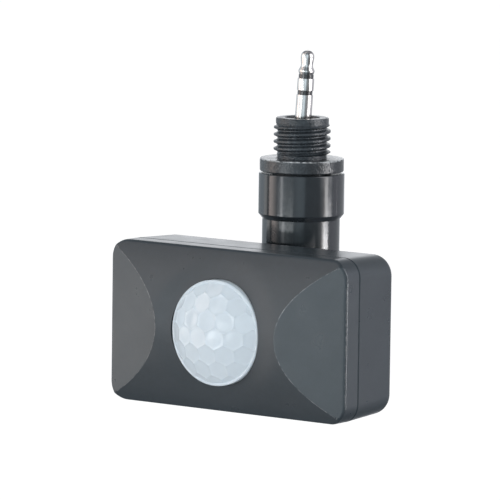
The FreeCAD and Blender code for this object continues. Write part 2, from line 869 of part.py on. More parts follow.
def make_coupling_sleeve():
    """Collar round the swivel: a lip runs on the spigot's journal, the arm sits below."""
    bore = sleeve_seat_radius + sleeve_seat_gap
    lip_bore = journal_radius + journal_gap
    profile = [
        (lip_bore, sleeve_top_z),
        (sleeve_radius - sleeve_top_edge, sleeve_top_z),
        (sleeve_radius, sleeve_top_z - sleeve_top_edge),
        (sleeve_radius, sleeve_bottom_z + sleeve_chamfer_height),
        (tube_radius, sleeve_bottom_z),
        (bore, sleeve_bottom_z),
        (bore, lip_bottom_z),
        (lip_bore, lip_bottom_z),
    ]
    return turned(profile)


def make_swivel_ring():
    """Ring pressed on the spigot's stem; it holds the sleeve up."""
    outer_radius = sleeve_seat_radius - swivel_play
    profile = [
        (stem_radius, ring_top_z),
        (outer_radius, ring_top_z),
        (outer_radius, ring_bottom_z),
        (stem_radius, ring_bottom_z),
    ]
    return turned(profile)


def o_ring_centre():
    """Radius and height of the middle of the O-ring's section."""
    return journal_radius - o_ring_section, sleeve_top_z - o_ring_drop


def make_swivel_o_ring():
    """O-ring in the journal's groove."""
    radius, height = o_ring_centre()
    return Part.makeTorus(radius, o_ring_section, Vector(0, 0, height))


def make_sealing_washer():
    """Thick rubber washer over the spigot's flange."""
    inner = washer_bore_radius
    low = -washer_thickness
    step = low + flange_thickness
    edge = washer_edge_radius
    profile = [
        (inner, step),
        (flange_radius, step),
        (flange_radius, low),
        (washer_radius - edge / 2, low),
        (washer_radius, low + edge / 2),
        (washer_radius, -edge),
        (washer_radius - edge * (1 - sqrt(0.5)), -edge * (1 - sqrt(0.5))),
        (washer_radius - edge, 0),
        (inner, 0),
    ]
    return turned(profile)


def make_threaded_spigot():
    """Hollow spigot: lead band, thread at its outer size, undercut, flange, journal and stem."""
    groove_radius, groove_z = o_ring_centre()
    groove_half = o_ring_section + o_ring_groove_gap
    groove_floor = groove_radius - groove_half
    low = -washer_thickness
    profile = [
        (spigot_bore_radius, mouth_z - lead_chamfer),
        (spigot_bore_radius + lead_chamfer, mouth_z),
        (lead_radius - lead_chamfer, mouth_z),
        (lead_radius, mouth_z - lead_chamfer),
        (lead_radius, thread_length),
        (thread_radius, thread_length),
        (thread_radius, 0),
        (undercut_radius, 0),
        (undercut_radius, low + flange_thickness),
        (flange_radius, low + flange_thickness),
        (flange_radius, low),
        (journal_radius, low),
        (journal_radius, groove_z + groove_half),
        (groove_floor, groove_z + groove_half),
        (groove_floor, groove_z - groove_half),
        (journal_radius, groove_z - groove_half),
        (journal_radius, ring_top_z),
        (stem_radius, ring_top_z),
        (stem_radius, ring_bottom_z),
        (spigot_bore_radius, ring_bottom_z),
    ]
    return turned(profile)


def plug_axis():
    """Unit vector along the plug, which leans from the thread's axis."""
    lean = radians(plug_lean)
    heading = radians(plug_lean_heading)
    return Vector(sin(lean) * cos(heading), sin(lean) * sin(heading), cos(lean))


def plug_point(from_tip):
    """A point on the plug's axis, measured from its tip."""
    seat = Vector(0, 0, mouth_z - holder_recess)
    return seat + plug_axis() * (plug_reach + holder_recess - from_tip)


def plug_turned(profile, from_tip):
    """Revolve an outline about the plug's axis; heights are measured up from from_tip."""
    return turned(profile, plug_point(from_tip), plug_axis())


def make_plug_tip():
    """Tip of the plug: rounded nose, waist and the shoulder behind it."""
    length = plug_tip_length
    flare_radius = plug_radius - tip_flare_step
    outline = [nose_shoulder, nose_side, nose_belly, tip_waist]
    outline += [(flare_radius, tip_flare_start), (flare_radius, tip_flare_end)]
    outline += [(plug_radius - tip_back_step, length)]
    points = [Vector(0, 0, 0), Vector(0, 0, length)]
    points += [Vector(radius, 0, length - from_nose) for radius, from_nose in outline]
    nose = Part.Arc(points[1], points[2], points[3]).toShape()
    edges = [Part.LineSegment(points[0], points[1]).toShape(), nose]
    for start, end in zip(points[3:], points[4:] + points[:1]):
        edges.append(Part.LineSegment(start, end).toShape())
    tip = Part.Face(Part.Wire(edges)).revolve(Vector(0, 0, 0), Vector(0, 0, 1), 360)
    turn = FreeCAD.Rotation(Vector(0, 0, 1), plug_axis())
    tip.Placement = FreeCAD.Placement(plug_point(length), turn)
    return tip


def plug_band(radius, from_tip, length):
    """A plain band of the plug."""
    return plug_turned([(0, 0), (radius, 0), (radius, length), (0, length)], from_tip + length)


def make_plug_sleeve():
    """The plug's longest contact, with a thinner shank down into the holder."""
    seat = plug_seat()
    contact = plug_band(plug_radius, plug_sleeve_start(), seat - plug_sleeve_start())
    shank = plug_band(plug_shank_radius, seat, plug_shank_length)
    return contact.fuse(shank).removeSplitter()


def plug_ring_start():
    """Distance of the ring contact from the tip."""
    return plug_tip_length + plug_insulator_length


def plug_sleeve_start():
    """Distance of the sleeve contact from the tip."""
    return plug_ring_start() + plug_ring_length + plug_second_insulator_length


def plug_seat():
    """Distance from the tip to the shoulder just over the holder."""
    return plug_reach + holder_recess - plug_seat_gap


def make_plug_holder():
    """Moulded block in the spigot's bore that carries the plug."""
    top = mouth_z - holder_recess
    holder = rod(spigot_bore_radius - holder_gap, Vector(0, 0, ring_bottom_z), Vector(0, 0, top))
    floor = plug_point(plug_seat() + plug_shank_length)
    hole = rod(plug_shank_radius + plug_hole_gap, floor, plug_point(0))
    return holder.cut(hole)


def build_parts():
    """All nodes by name."""
    parts = {
        "threaded_spigot": make_threaded_spigot(),
        "sealing_washer": make_sealing_washer(),
        "swivel_o_ring": make_swivel_o_ring(),
        "swivel_ring": make_swivel_ring(),
        "plug_holder": make_plug_holder(),
        "plug_sleeve": make_plug_sleeve(),
        "plug_ring_insulator": plug_band(
            plug_insulator_radius,
            plug_ring_start() + plug_ring_length,
            plug_second_insulator_length,
        ),
        "plug_ring": plug_band(plug_radius, plug_ring_start(), plug_ring_length),
        "plug_tip_insulator": plug_band(plug_insulator_radius, plug_tip_length, plug_insulator_length),
        "plug_tip": make_plug_tip(),
        "coupling_sleeve": make_coupling_sleeve(),
        "neck_arm": make_neck_arm(),
        "front_cover": make_front_cover(),
        "rear_housing": make_rear_housing(),
        "cover_gasket": gasket_ring(0.0, gasket_depth),
        "lens_dome": make_lens_dome(),
        "lens_retainer": make_lens_retainer(),
        "circuit_board": make_circuit_board(),
        "pir_sensor": make_pir_sensor(),
        "pir_window": make_pir_window(),
        "pir_spacer": make_pir_spacer(),
        "light_sensor": make_light_sensor(),
        "controller_chip": on_board_back(chip_size, chip_place),
        "voltage_regulator": on_board_back(regulator_size, regulator_place),
        "lead_connector": on_board_back(connector_size, connector_place),
        "storage_capacitor": make_storage_capacitor(),
        "housing_screws": make_housing_screws(),
        "board_screws": make_board_screws(),
        "lead_grommet": make_lead_grommet(),
        "friction_washers": make_friction_washers(),
        "pivot_screw": make_pivot_screw(),
        "pivot_nut": make_pivot_nut(),
    }
    for name, x in dial_places():
        parts[name + "_trimmer"] = make_trimmer(x)
        parts[name + "_dial"] = make_dial(x)
    return parts


os.makedirs("parts", exist_ok=True)
for node, shape in build_parts().items():
    shape.exportStep("parts/" + node + ".step")
    box = shape.BoundBox
    print(
        "%-20s solids %d valid %s volume %9.2f  x %6.2f %6.2f  y %6.2f %6.2f  z %6.2f %6.2f"
        % (
            node,
            len(shape.Solids),
            shape.isValid(),
            shape.Volume,
            box.XMin,
            box.XMax,
            box.YMin,
            box.YMax,
            box.ZMin,
            box.ZMax,
        )
    )
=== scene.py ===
"""Looks of a plug-in motion detector head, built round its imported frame."""

import json
import logging
import math
from dataclasses import dataclass, field
from enum import Enum
from typing import Iterable, Sequence

import bmesh
import bpy
import numpy as np
from mathutils import Matrix, Vector


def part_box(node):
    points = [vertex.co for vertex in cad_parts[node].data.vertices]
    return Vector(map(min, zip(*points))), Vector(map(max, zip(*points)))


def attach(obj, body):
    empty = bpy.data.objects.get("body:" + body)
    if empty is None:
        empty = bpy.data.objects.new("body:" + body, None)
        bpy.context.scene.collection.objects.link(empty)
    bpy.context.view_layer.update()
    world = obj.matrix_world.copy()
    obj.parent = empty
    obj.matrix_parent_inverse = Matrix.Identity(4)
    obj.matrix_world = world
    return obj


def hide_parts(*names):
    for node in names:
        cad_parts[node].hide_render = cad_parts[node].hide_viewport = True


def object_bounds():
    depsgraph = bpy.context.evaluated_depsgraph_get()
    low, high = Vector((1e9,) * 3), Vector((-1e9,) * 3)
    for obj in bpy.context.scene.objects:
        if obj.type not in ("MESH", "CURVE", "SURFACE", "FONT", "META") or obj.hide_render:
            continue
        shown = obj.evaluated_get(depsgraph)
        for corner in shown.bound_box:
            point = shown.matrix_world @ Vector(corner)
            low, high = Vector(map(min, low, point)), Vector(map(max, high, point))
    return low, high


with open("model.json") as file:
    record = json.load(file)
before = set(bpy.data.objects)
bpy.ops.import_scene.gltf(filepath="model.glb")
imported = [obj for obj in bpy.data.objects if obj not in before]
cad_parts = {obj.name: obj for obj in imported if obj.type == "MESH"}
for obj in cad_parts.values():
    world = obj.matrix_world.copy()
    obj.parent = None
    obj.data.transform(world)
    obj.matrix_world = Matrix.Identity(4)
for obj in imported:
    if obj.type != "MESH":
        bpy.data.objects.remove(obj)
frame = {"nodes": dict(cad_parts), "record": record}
CAD_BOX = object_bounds()

log = logging.getLogger("detector")
MM = 0.001
FAR = 20 * MM
SPARE = 1 * MM
PIVOT_HOLE = 2.06 * MM
QUARTER = math.radians(90)
Profile = list[tuple[float, float]]
Colour = tuple[float, float, float]
Socket = bpy.types.NodeSocket
Thing = bpy.types.Object


class Body(Enum):
    """The moving bodies that pieces ride on."""

    SPIGOT = "spigot"
    NECK = "neck"
    HEAD = "head"
    TIME = "time_adjuster"
    LIGHT = "light_adjuster"
    RANGE = "range_adjuster"


class Grain(Enum):
    """Kinds of surface grain that a finish can have."""

    EVEN = "even"
    TURNED = "turned"
    RUBBER = "rubber"


@dataclass(frozen=True)
class Finish:
    """One surface finish, as numbers for the shader.

    Sizes of grain are in metres, its relief is a share of its size, and colours are linear.
    """

    name: str
    colour: Colour
    roughness: float
    grain_size: float
    bump: float
    grain: Grain = Grain.EVEN
    relief: float = 0.25
    variation: float = 0.06
    roughness_swing: float = 0.05
    metallic: float = 0.0
    coat: float = 0.0
    subsurface: float = 0.0
    # Strength of a painted highlight: a speckled lighter colour along the edges marked 'edge'.
    highlight_paint: float = 0.0
    slot: str = ""


class Finishes:
    """All finishes of the detector, built once and handed out by name."""

    # The housing and the washer get a painted highlight along their marked edges.
    HOUSING = Finish(
        "housing_gloss", (0.032, 0.043, 0.052), 0.30, 0.0006, 0.03,
        variation=0.05, roughness_swing=0.03, highlight_paint=0.26,
    )
    NECK = Finish(
        "neck_gloss", (0.018, 0.023, 0.028), 0.15, 0.0012, 0.04,
        variation=0.08, roughness_swing=0.04, coat=0.2,
    )
    ARM = Finish(
        "arm_gloss", (0.017, 0.022, 0.026), 0.15, 0.0005, 0.08,
        variation=0.1, roughness_swing=0.06, coat=0.2, slot="neck_gloss",
    )
    SPIGOT = Finish(
        "spigot_dark", (0.028, 0.035, 0.042), 0.22, 0.0004, 0.8,
        relief=0.5, variation=0.3, roughness_swing=0.10,
    )
    WASHER = Finish(
        "washer_rubber", (0.024, 0.029, 0.034), 0.25, 0.0005, 1.0, Grain.RUBBER,
        relief=0.2, variation=0.25, roughness_swing=0.10, highlight_paint=0.7,
    )
    SEAL = Finish("seal_rubber", (0.02, 0.02, 0.021), 0.6, 0.0003, 0.3, Grain.RUBBER)
    LENS = Finish(
        "lens_white", (0.65, 0.74, 0.82), 0.12, 0.0012, 0.02,
        variation=0.02, roughness_swing=0.03, subsurface=0.25,
    )
    NICKEL = Finish(
        "plug_nickel", (0.66, 0.64, 0.62), 0.18, 0.00012, 0.12, Grain.TURNED,
        variation=0.08, roughness_swing=0.08, metallic=1.0,
    )
    INSULATOR = Finish("plug_insulator", (0.018, 0.018, 0.02), 0.2, 0.0004, 0.08, coat=0.6)
    HOLDER = Finish("holder_black", (0.012, 0.013, 0.015), 0.5, 0.0004, 0.2)
    SCREW = Finish(
        "screw_steel", (0.56, 0.56, 0.57), 0.27, 0.0002, 0.2, Grain.TURNED,
        variation=0.1, roughness_swing=0.1, metallic=1.0,
    )
    NYLON = Finish("washer_nylon", (0.72, 0.70, 0.64), 0.42, 0.0004, 0.1)
    DIAL = Finish("dial_plastic", (0.10, 0.105, 0.115), 0.38, 0.0003, 0.15)
    RING = Finish("ring_plastic", (0.68, 0.68, 0.66), 0.5, 0.0005, 0.1)
    BOARD = Finish("board_green", (0.018, 0.12, 0.05), 0.3, 0.0006, 0.1)
    CAN = Finish("can_metal", (0.66, 0.66, 0.67), 0.25, 0.0002, 0.1, Grain.TURNED, metallic=1.0)
    WINDOW = Finish("window_dark", (0.03, 0.025, 0.035), 0.08, 0.001, 0.02)
    CLEAR = Finish("sensor_clear", (0.75, 0.78, 0.82), 0.08, 0.001, 0.02)
    CHIP = Finish("chip_black", (0.02, 0.02, 0.022), 0.55, 0.0003, 0.2)
    CONNECTOR = Finish("connector_white", (0.78, 0.75, 0.68), 0.45, 0.0005, 0.1)
    CAPACITOR = Finish("capacitor_sleeve", (0.02, 0.03, 0.09), 0.25, 0.0006, 0.05)
    TRIMMER = Finish("trimmer_body", (0.03, 0.09, 0.24), 0.45, 0.0004, 0.1)

    def __init__(self) -> None:
        """Start with no material built."""
        self._built: dict[str, bpy.types.Material] = {}

    def material(self, finish: Finish) -> bpy.types.Material:
        """Return the material of a finish, and build it on first use."""
        if finish.name not in self._built:
            self._built[finish.name] = Shader(finish).build()
        return self._built[finish.name]

    @classmethod
    def by_slot(cls) -> dict[str, Finish]:
        """Return every finish under the name of its material slot."""
        return {value.name: value for value in vars(cls).values() if isinstance(value, Finish)}


class Nodes:
    """Adds nodes to a tree and feeds their inputs."""

    def __init__(self, tree: bpy.types.NodeTree) -> None:
        """Keep the tree.

        Args:
            tree: The tree that takes the nodes.
        """
        self.tree = tree

    def node(self, kind: str, inputs: dict | None = None, **settings: object) -> bpy.types.Node:
        """Add a node, set its properties and feed its inputs.

        Args:
            kind: The node's type.
            inputs: Sockets or constants, by the name or number of the input that takes each.
            settings: Plain properties, set first because some of them bring their own inputs.

        Returns:
            The node.
        """
        made = self.tree.nodes.new(kind)
        for key, value in settings.items():
            setattr(made, key, value)
        for key, value in (inputs or {}).items():
            self.feed(made.inputs[key], value)
        return made

    def feed(self, target: Socket, source: Socket | float | Sequence[float]) -> None:
        """Feed a socket from another one or from a constant."""
        if isinstance(source, Socket):
            self.tree.links.new(source, target)
        else:
            target.default_value = source

    def math(self, operation: str, *values: Socket | float) -> Socket:
        """Add a Math node and return its result."""
        return self.node("ShaderNodeMath", dict(enumerate(values)), operation=operation).outputs[0]

    def vector(self, operation: str, *values: Socket | float | Sequence[float]) -> Socket:
        """Add a Vector Math node and return the result that its operation has."""
        keys = (0, "Scale") if operation == "SCALE" else (0, 1, 2)
        made = self.node("ShaderNodeVectorMath", dict(zip(keys, values)), operation=operation)
        return made.outputs["Value" if operation == "LENGTH" else "Vector"]

    def combined(self, **parts: Socket | float) -> Socket:
        """Return a vector made of its parts X, Y and Z."""
        return self.node("ShaderNodeCombineXYZ", parts).outputs[0]

    def separated(self, vector: Socket) -> bpy.types.NodeOutputs:
        """Return the parts X, Y and Z of a vector."""
        return self.node("ShaderNodeSeparateXYZ", {0: vector}).outputs

    def mixed(self, factor: Socket, first: object, second: object) -> Socket:
        """Mix two colours."""
        inputs = {"Factor": factor, "A": first, "B": second}
        return self.node("ShaderNodeMix", inputs, data_type="RGBA").outputs["Result"]


class Shader(Nodes):
    """Builds the node tree of one finish."""

    CLOUD = 14 * MM
    PATCH = 4.5 * MM
    # Grain of the specks in the painted edge highlight.
    HIGHLIGHT_SPECK = 0.9 * MM
    NOISE_SPAN = (0.3, 0.7)
    LEAST_ROUGHNESS = 0.02
    COAT_ROUGHNESS = 0.1
    SCATTER_SCALE = 1.2 * MM
    SCATTER_RADIUS = (1.0, 1.1, 1.2)
    SPECK_SPAN = (-0.3, 1.2)
    TURNED_STRETCH = (0.05, 0.05, 1.0)

    def __init__(self, finish: Finish) -> None:
        """Make an empty material for the finish.

        Args:
            finish: The finish to build.
        """
        self.finish = finish
        self.material = bpy.data.materials.new(finish.name)
        self.material.use_nodes = True
        super().__init__(self.material.node_tree)
        self.place = self.node("ShaderNodeTexCoord").outputs["Object"]

    def build(self) -> bpy.types.Material:
        """Set the shader's constants, feed what varies, and return the material."""
        finish = self.finish
        sockets = self.tree.nodes["Principled BSDF"].inputs
        constants = {
            "Base Color": (*finish.colour, 1.0),
            "Roughness": finish.roughness,
            "Metallic": finish.metallic,
            "Coat Weight": finish.coat,
            "Coat Roughness": self.COAT_ROUGHNESS,
        }
        if finish.subsurface:
            constants["Subsurface Weight"] = finish.subsurface
            constants["Subsurface Radius"] = self.SCATTER_RADIUS
            constants["Subsurface Scale"] = self.SCATTER_SCALE
        varied = {
            "Base Color": self._colour(),
            "Roughness": self._roughness(),
            "Normal": self._normal(),
        }
        for values in (constants, varied):
            for name, value in values.items():
                self.feed(sockets[name], value)
        return self.material

    def _noise(self, size: float, detail: float, vector: Socket | None = None) -> Socket:
        """Return the value of a noise with the given grain size in metres."""
        place = self.place if vector is None else vector
        inputs = {"Vector": place, "Scale": 1.0 / size, "Detail": detail}
        return self.node("ShaderNodeTexNoise", inputs).outputs["Fac"]

    def _spread(self, value: Socket, low: float, high: float) -> Socket:
        """Map a noise value, which lies about one half, to a range."""
        least, most = self.NOISE_SPAN
        inputs = {"Value": value, "From Min": least, "From Max": most, "To Min": low, "To Max": high}
        return self.node("ShaderNodeMapRange", inputs).outputs["Result"]

    def _colour(self) -> Socket:
        """Vary the colour gently over the piece and more finely in its grain, and paint a highlight on
        marked edges.
        """
        finish = self.finish
        swing = (1.0 - finish.variation, 1.0 + finish.variation)
        cloud = self._spread(self._noise(self.CLOUD, 3.0), *swing)
        speck = self._spread(self._noise(finish.grain_size * 2.0, 4.0), *swing)
        colour = self.vector("SCALE", finish.colour, self.math("MULTIPLY", cloud, speck))
        return self._paint_edge_highlight(colour) if finish.highlight_paint else colour

    def _paint_edge_highlight(self, colour: Socket) -> Socket:
        """Paint a speckled highlight into the colour along the edges that the piece marks."""
        highlight_paint = self.finish.highlight_paint
        edge = self.node("ShaderNodeAttribute", attribute_name="edge").outputs["Fac"]
        specks = self._spread(self._noise(self.HIGHLIGHT_SPECK, 4.0), *self.SPECK_SPAN)
        # The painted highlight's colour, lighter than the finish.
        bare = (0.95 * highlight_paint, highlight_paint, 1.05 * highlight_paint, 1.0)
        return self.mixed(self.math("MULTIPLY", edge, specks), colour, bare)

    def _roughness(self) -> Socket:
        """Let the roughness swing about its middle."""
        middle, swing = self.finish.roughness, self.finish.roughness_swing
        low = max(self.LEAST_ROUGHNESS, middle - swing)
        return self._spread(self._noise(self.PATCH, 4.0), low, middle + swing)

    def _normal(self) -> Socket:
        """Add the fine relief of the finish's grain."""
        finish = self.finish
        vector = self.place
        if finish.grain is Grain.TURNED:
            stretch = self.node("ShaderNodeMapping", {"Vector": vector, "Scale": self.TURNED_STRETCH})
            vector = stretch.outputs["Vector"]
        height = self._noise(finish.grain_size, 2.0, vector)
        if finish.grain is Grain.RUBBER:
            values = {"Vector": vector, "Scale": 1.0 / finish.grain_size}
            cells = self.node("ShaderNodeTexVoronoi", values)
            height = self.math("MULTIPLY", height, cells.outputs["Distance"])
        deep = finish.grain_size * finish.relief
        relief = {"Height": height, "Strength": finish.bump, "Distance": deep}
        return self.node("ShaderNodeBump", relief).outputs["Normal"]


class Mesher:
    """Small mesh builders that the sub-assemblies share. All lengths are in metres."""

    NO_LENGTH = 1e-9
    STRAIGHT = math.pi - 0.02
    MOST_OF_SIDE = 0.49
    SHARP_FOR_BEVEL = math.radians(40.0)

    @staticmethod
    def linked(name: str, mesh: bpy.types.Mesh) -> Thing:
        """Put a mesh into the scene as an object at the origin."""
        thing = bpy.data.objects.new(name, mesh)
        bpy.context.scene.collection.objects.link(thing)
        return thing

    @classmethod
    def object_from(cls, name: str, vertices: np.ndarray, faces: Iterable[Sequence[int]]) -> Thing:
        """Make a linked mesh object from plain arrays.

        Args:
            name: The object's name.
            vertices: An (n, 3) array of places.
            faces: Vertex numbers of each face.

        Returns:
            The new object, at the origin.
        """
        mesh = bpy.data.meshes.new(name)
        mesh.from_pydata([tuple(v) for v in vertices], [], [tuple(f) for f in faces])
        mesh.validate()
        return cls.linked(name, mesh)

    @staticmethod
    def discard(thing: Thing) -> None:
        """Delete an object with its mesh."""
        mesh = thing.data
        bpy.data.objects.remove(thing)
        bpy.data.meshes.remove(mesh)

    @staticmethod
    def places(thing: Thing) -> np.ndarray:
        """Return the places of an object's points."""
        flat = np.empty(len(thing.data.vertices) * 3)
        thing.data.vertices.foreach_get("co", flat)
        return flat.reshape(-1, 3)

    @staticmethod
    def mark(thing: Thing, name: str, values: np.ndarray) -> None:
        """Keep a number for each point, for a shader or a node tree to read."""
        layer = thing.data.attributes.new(name, "FLOAT", "POINT")
        layer.data.foreach_set("value", values.astype(np.float32))

    @classmethod
    def rounded(cls, profile: Profile, radii: Sequence[float], steps: int = 5) -> Profile:
        """Round the corners of an outline of (radius, height) points.

        Args:
            profile: The outline's corners.
            radii: The rounding of each corner, zero for a sharp one.
            steps: Pieces in each rounded corner.

        Returns:
            The outline with its corners replaced by arcs.
        """
        count = len(profile)
        result: Profile = []
        for index, (point, radius) in enumerate(zip(profile, radii)):
            here = Vector(point)
            back = Vector(profile[index - 1]) - here
            ahead = Vector(profile[(index + 1) % count]) - here
            shortest = min(back.length, ahead.length)
            turn = back.angle(ahead) if shortest > cls.NO_LENGTH else math.pi
            if radius <= 0.0 or turn > cls.STRAIGHT:
                result.append(tuple(here))
                continue
            reach = min(radius / math.tan(turn / 2), shortest * cls.MOST_OF_SIDE)
            real = reach * math.tan(turn / 2)
            inward = (back.normalized() + ahead.normalized()).normalized()
            centre = here + inward * (real / math.sin(turn / 2))
            start = here + back.normalized() * reach - centre
            sweep = start.angle_signed(here + ahead.normalized() * reach - centre)
            for step in range(steps + 1):
                spoke = Matrix.Rotation(-sweep * step / steps, 2) @ start
                result.append(tuple(centre + spoke))
        return result

    @staticmethod
    def arc(
        x: float, centre: tuple[float, float], radius: float, start: float, end: float, steps: int
    ) -> list[Vector]:
        """Points of an arc in a plane across X.

        Args:
            x: The plane's place.
            centre: The arc's centre, as Y and Z.
            radius: Its radius.
            start: Its first angle, from Y towards Z.
            end: Its last angle.
            steps: The number of its pieces.

        Returns:
            The points as vectors, one more than the pieces.
        """
        angles = [start + (end - start) * step / steps for step in range(steps + 1)]
        y, z = centre
        return [Vector((x, y + radius * math.cos(a), z + radius * math.sin(a))) for a in angles]

    @classmethod
    def wound(cls, name: str, columns: np.ndarray) -> Thing:
        """Close a sheet of (columns, rings, 3) places both ways, into the skin of a ring."""
        count, rings = columns.shape[:2]
        step, ring = np.divmod(np.arange(count * rings), rings)
        here, following = step * rings, (step + 1) % count * rings
        after = (ring + 1) % rings
        faces = np.stack([here + ring, following + ring, following + after, here + after], -1)
        thing = cls.object_from(name, columns.reshape(-1, 3), faces.tolist())
        cls.heal(thing)
        return thing

    @classmethod
    def lathe(
        cls, name: str, profile: Profile, segments: int, placement: Matrix | None = None
    ) -> Thing:
        """Revolve a closed outline about Z.

        Args:
            name: The object's name.
            profile: Closed outline of (radius, height) points, in order.
            segments: Steps round the axis.
            placement: Where the turned piece goes.

        Returns:
            The turned piece.
        """
        angles = np.linspace(0.0, 2.0 * math.pi, segments, endpoint=False)
        radius, height = np.array(profile).T
        x = np.outer(np.cos(angles), radius)
        y = np.outer(np.sin(angles), radius)
        thing = cls.wound(name, np.stack([x, y, np.tile(height, (segments, 1))], -1))
        if placement is not None:
            thing.data.transform(placement)
        return thing

    @staticmethod
    def heal(thing: Thing, distance: float = 1e-7) -> None:
        """Merge doubles, drop empty faces and turn the normals outwards."""
        work = bmesh.new()
        work.from_mesh(thing.data)
        bmesh.ops.remove_doubles(work, verts=work.verts, dist=distance)
        bmesh.ops.dissolve_degenerate(work, edges=work.edges, dist=distance)
        bmesh.ops.recalc_face_normals(work, faces=work.faces)
        work.to_mesh(thing.data)
        work.free()

    @classmethod
    def prism(cls, name: str, outline: Sequence[Vector], along: Vector) -> Thing:
        """Extrude a closed flat outline along a vector."""
        work = bmesh.new()
        base = [work.verts.new(p) for p in outline]
        top = [work.verts.new(p + along) for p in outline]
        work.faces.new(base)
        work.faces.new(list(reversed(top)))
        for index in range(len(base)):
            after = (index + 1) % len(base)
            work.faces.new((base[index], top[index], top[after], base[after]))
        bmesh.ops.recalc_face_normals(work, faces=work.faces)
        mesh = bpy.data.meshes.new(name)
        work.to_mesh(mesh)
        work.free()
        return cls.linked(name, mesh)

    @classmethod
    def rod(cls, name: str, radius: float, start: Vector, end: Vector, segments: int = 64) -> Thing:
        """Make a plain round cutter between two points."""
        length = (end - start).length
        turn = (end - start).to_track_quat("Z", "Y").to_matrix().to_4x4()
        outline = [(0.0, 0.0), (radius, 0.0), (radius, length), (0.0, length)]
        return cls.lathe(name, outline, segments, Matrix.Translation(start) @ turn)

    @staticmethod
    def sideways(x: float, z: float) -> Matrix:
        """Placement that turns a piece's Z axis to lie along X."""
        return Matrix.Translation((x, 0.0, z)) @ Matrix.Rotation(QUARTER, 4, "Y")

    @staticmethod
    def apply_modifiers(thing: Thing) -> None:
        """Turn an object's modifiers into plain mesh."""
        depsgraph = bpy.context.evaluated_depsgraph_get()
        mesh = bpy.data.meshes.new_from_object(thing.evaluated_get(depsgraph))
        thing.modifiers.clear()
        old = thing.data
        thing.data = mesh
        bpy.data.meshes.remove(old)

    @classmethod
    def combine(cls, thing: Thing, others: Sequence[Thing], operation: str) -> None:
        """Join or cut solids in turn, and delete the ones used."""
        for other in others:
            step = thing.modifiers.new("combine", "BOOLEAN")
            step.operation = operation
            step.solver = "EXACT"
            step.object = other
            cls.apply_modifiers(thing)
            cls.discard(other)

    @classmethod
    def bevel(cls, thing: Thing, width: float, segments: int = 3) -> None:
        """Round every sharp edge."""
        step = thing.modifiers.new("round", "BEVEL")
        step.width = width
        step.segments = segments
        step.limit_method = "ANGLE"
        step.angle_limit = cls.SHARP_FOR_BEVEL
        cls.apply_modifiers(thing)

    @classmethod
    def shade(cls, thing: Thing, angle: float, weighted: bool = True) -> None:
        """Shade smoothly up to an angle in degrees, with flat faces kept flat."""
        thing.data.polygons.foreach_set("use_smooth", [True] * len(thing.data.polygons))
        thing.data.set_sharp_from_angle(angle=math.radians(angle))
        if weighted:
            step = thing.modifiers.new("normals", "WEIGHTED_NORMAL")
            step.keep_sharp = True
            step.mode = "FACE_AREA_WITH_ANGLE"
            cls.apply_modifiers(thing)

    @classmethod
    def joined(cls, name: str, things: Sequence[Thing]) -> Thing:
        """Merge several objects at the origin into one mesh object."""
        work = bmesh.new()
        for thing in things:
            work.from_mesh(thing.data)
        mesh = bpy.data.meshes.new(name)
        work.to_mesh(mesh)
        work.free()
        for thing in things:
            cls.discard(thing)
        return cls.linked(name, mesh)


class TreeMaker(Nodes):
    """Builds one Geometry Nodes tree with named inputs."""

    def __init__(self, name: str) -> None:
        """Make an empty tree with a geometry input and output.

        Args:
            name: The tree's name.
        """
        super().__init__(bpy.data.node_groups.new(name, "GeometryNodeTree"))
        for way in ("INPUT", "OUTPUT"):
            self.tree.interface.new_socket("Geometry", in_out=way, socket_type="NodeSocketGeometry")
        self.source = self.node("NodeGroupInput")
        self.identifiers: dict[str, str] = {}
        self.values: dict[str, object] = {}

    def named(self, name: str, value: object, kind: str = "NodeSocketFloat") -> Socket:
        """Add a named input with its usual value, and return its socket inside the tree."""
        item = self.tree.interface.new_socket(name, in_out="INPUT", socket_type=kind)
        item.default_value = value
        self.identifiers[name] = item.identifier
        self.values[name] = value
        return self.source.outputs[name]

    def close(self, geometry: Socket, finish: bpy.types.Material) -> None:
        """End the tree in real geometry that carries its finish.

        Args:
            geometry: What the tree has made.
            finish: The usual material of its finish input.
        """
        real = self.node("GeometryNodeRealizeInstances", {"Geometry": geometry}).outputs["Geometry"]
        material = self.named("Finish", finish, "NodeSocketMaterial")
        dressed = self.node("GeometryNodeSetMaterial", {"Geometry": real, "Material": material})
        self.node("NodeGroupOutput", {0: dressed.outputs["Geometry"]})

    def run(self, thing: Thing, values: dict[str, object] | None = None) -> None:
        """Run the tree on an object and keep the result as plain mesh.

        Args:
            thing: The object whose mesh goes in.
            values: The named inputs that differ from their usual values.
        """
        step = thing.modifiers.new("nodes", "NODES")
        step.node_group = self.tree
        for name, value in (self.values | (values or {})).items():
            step[self.identifiers[name]] = value
        Mesher.apply_modifiers(thing)


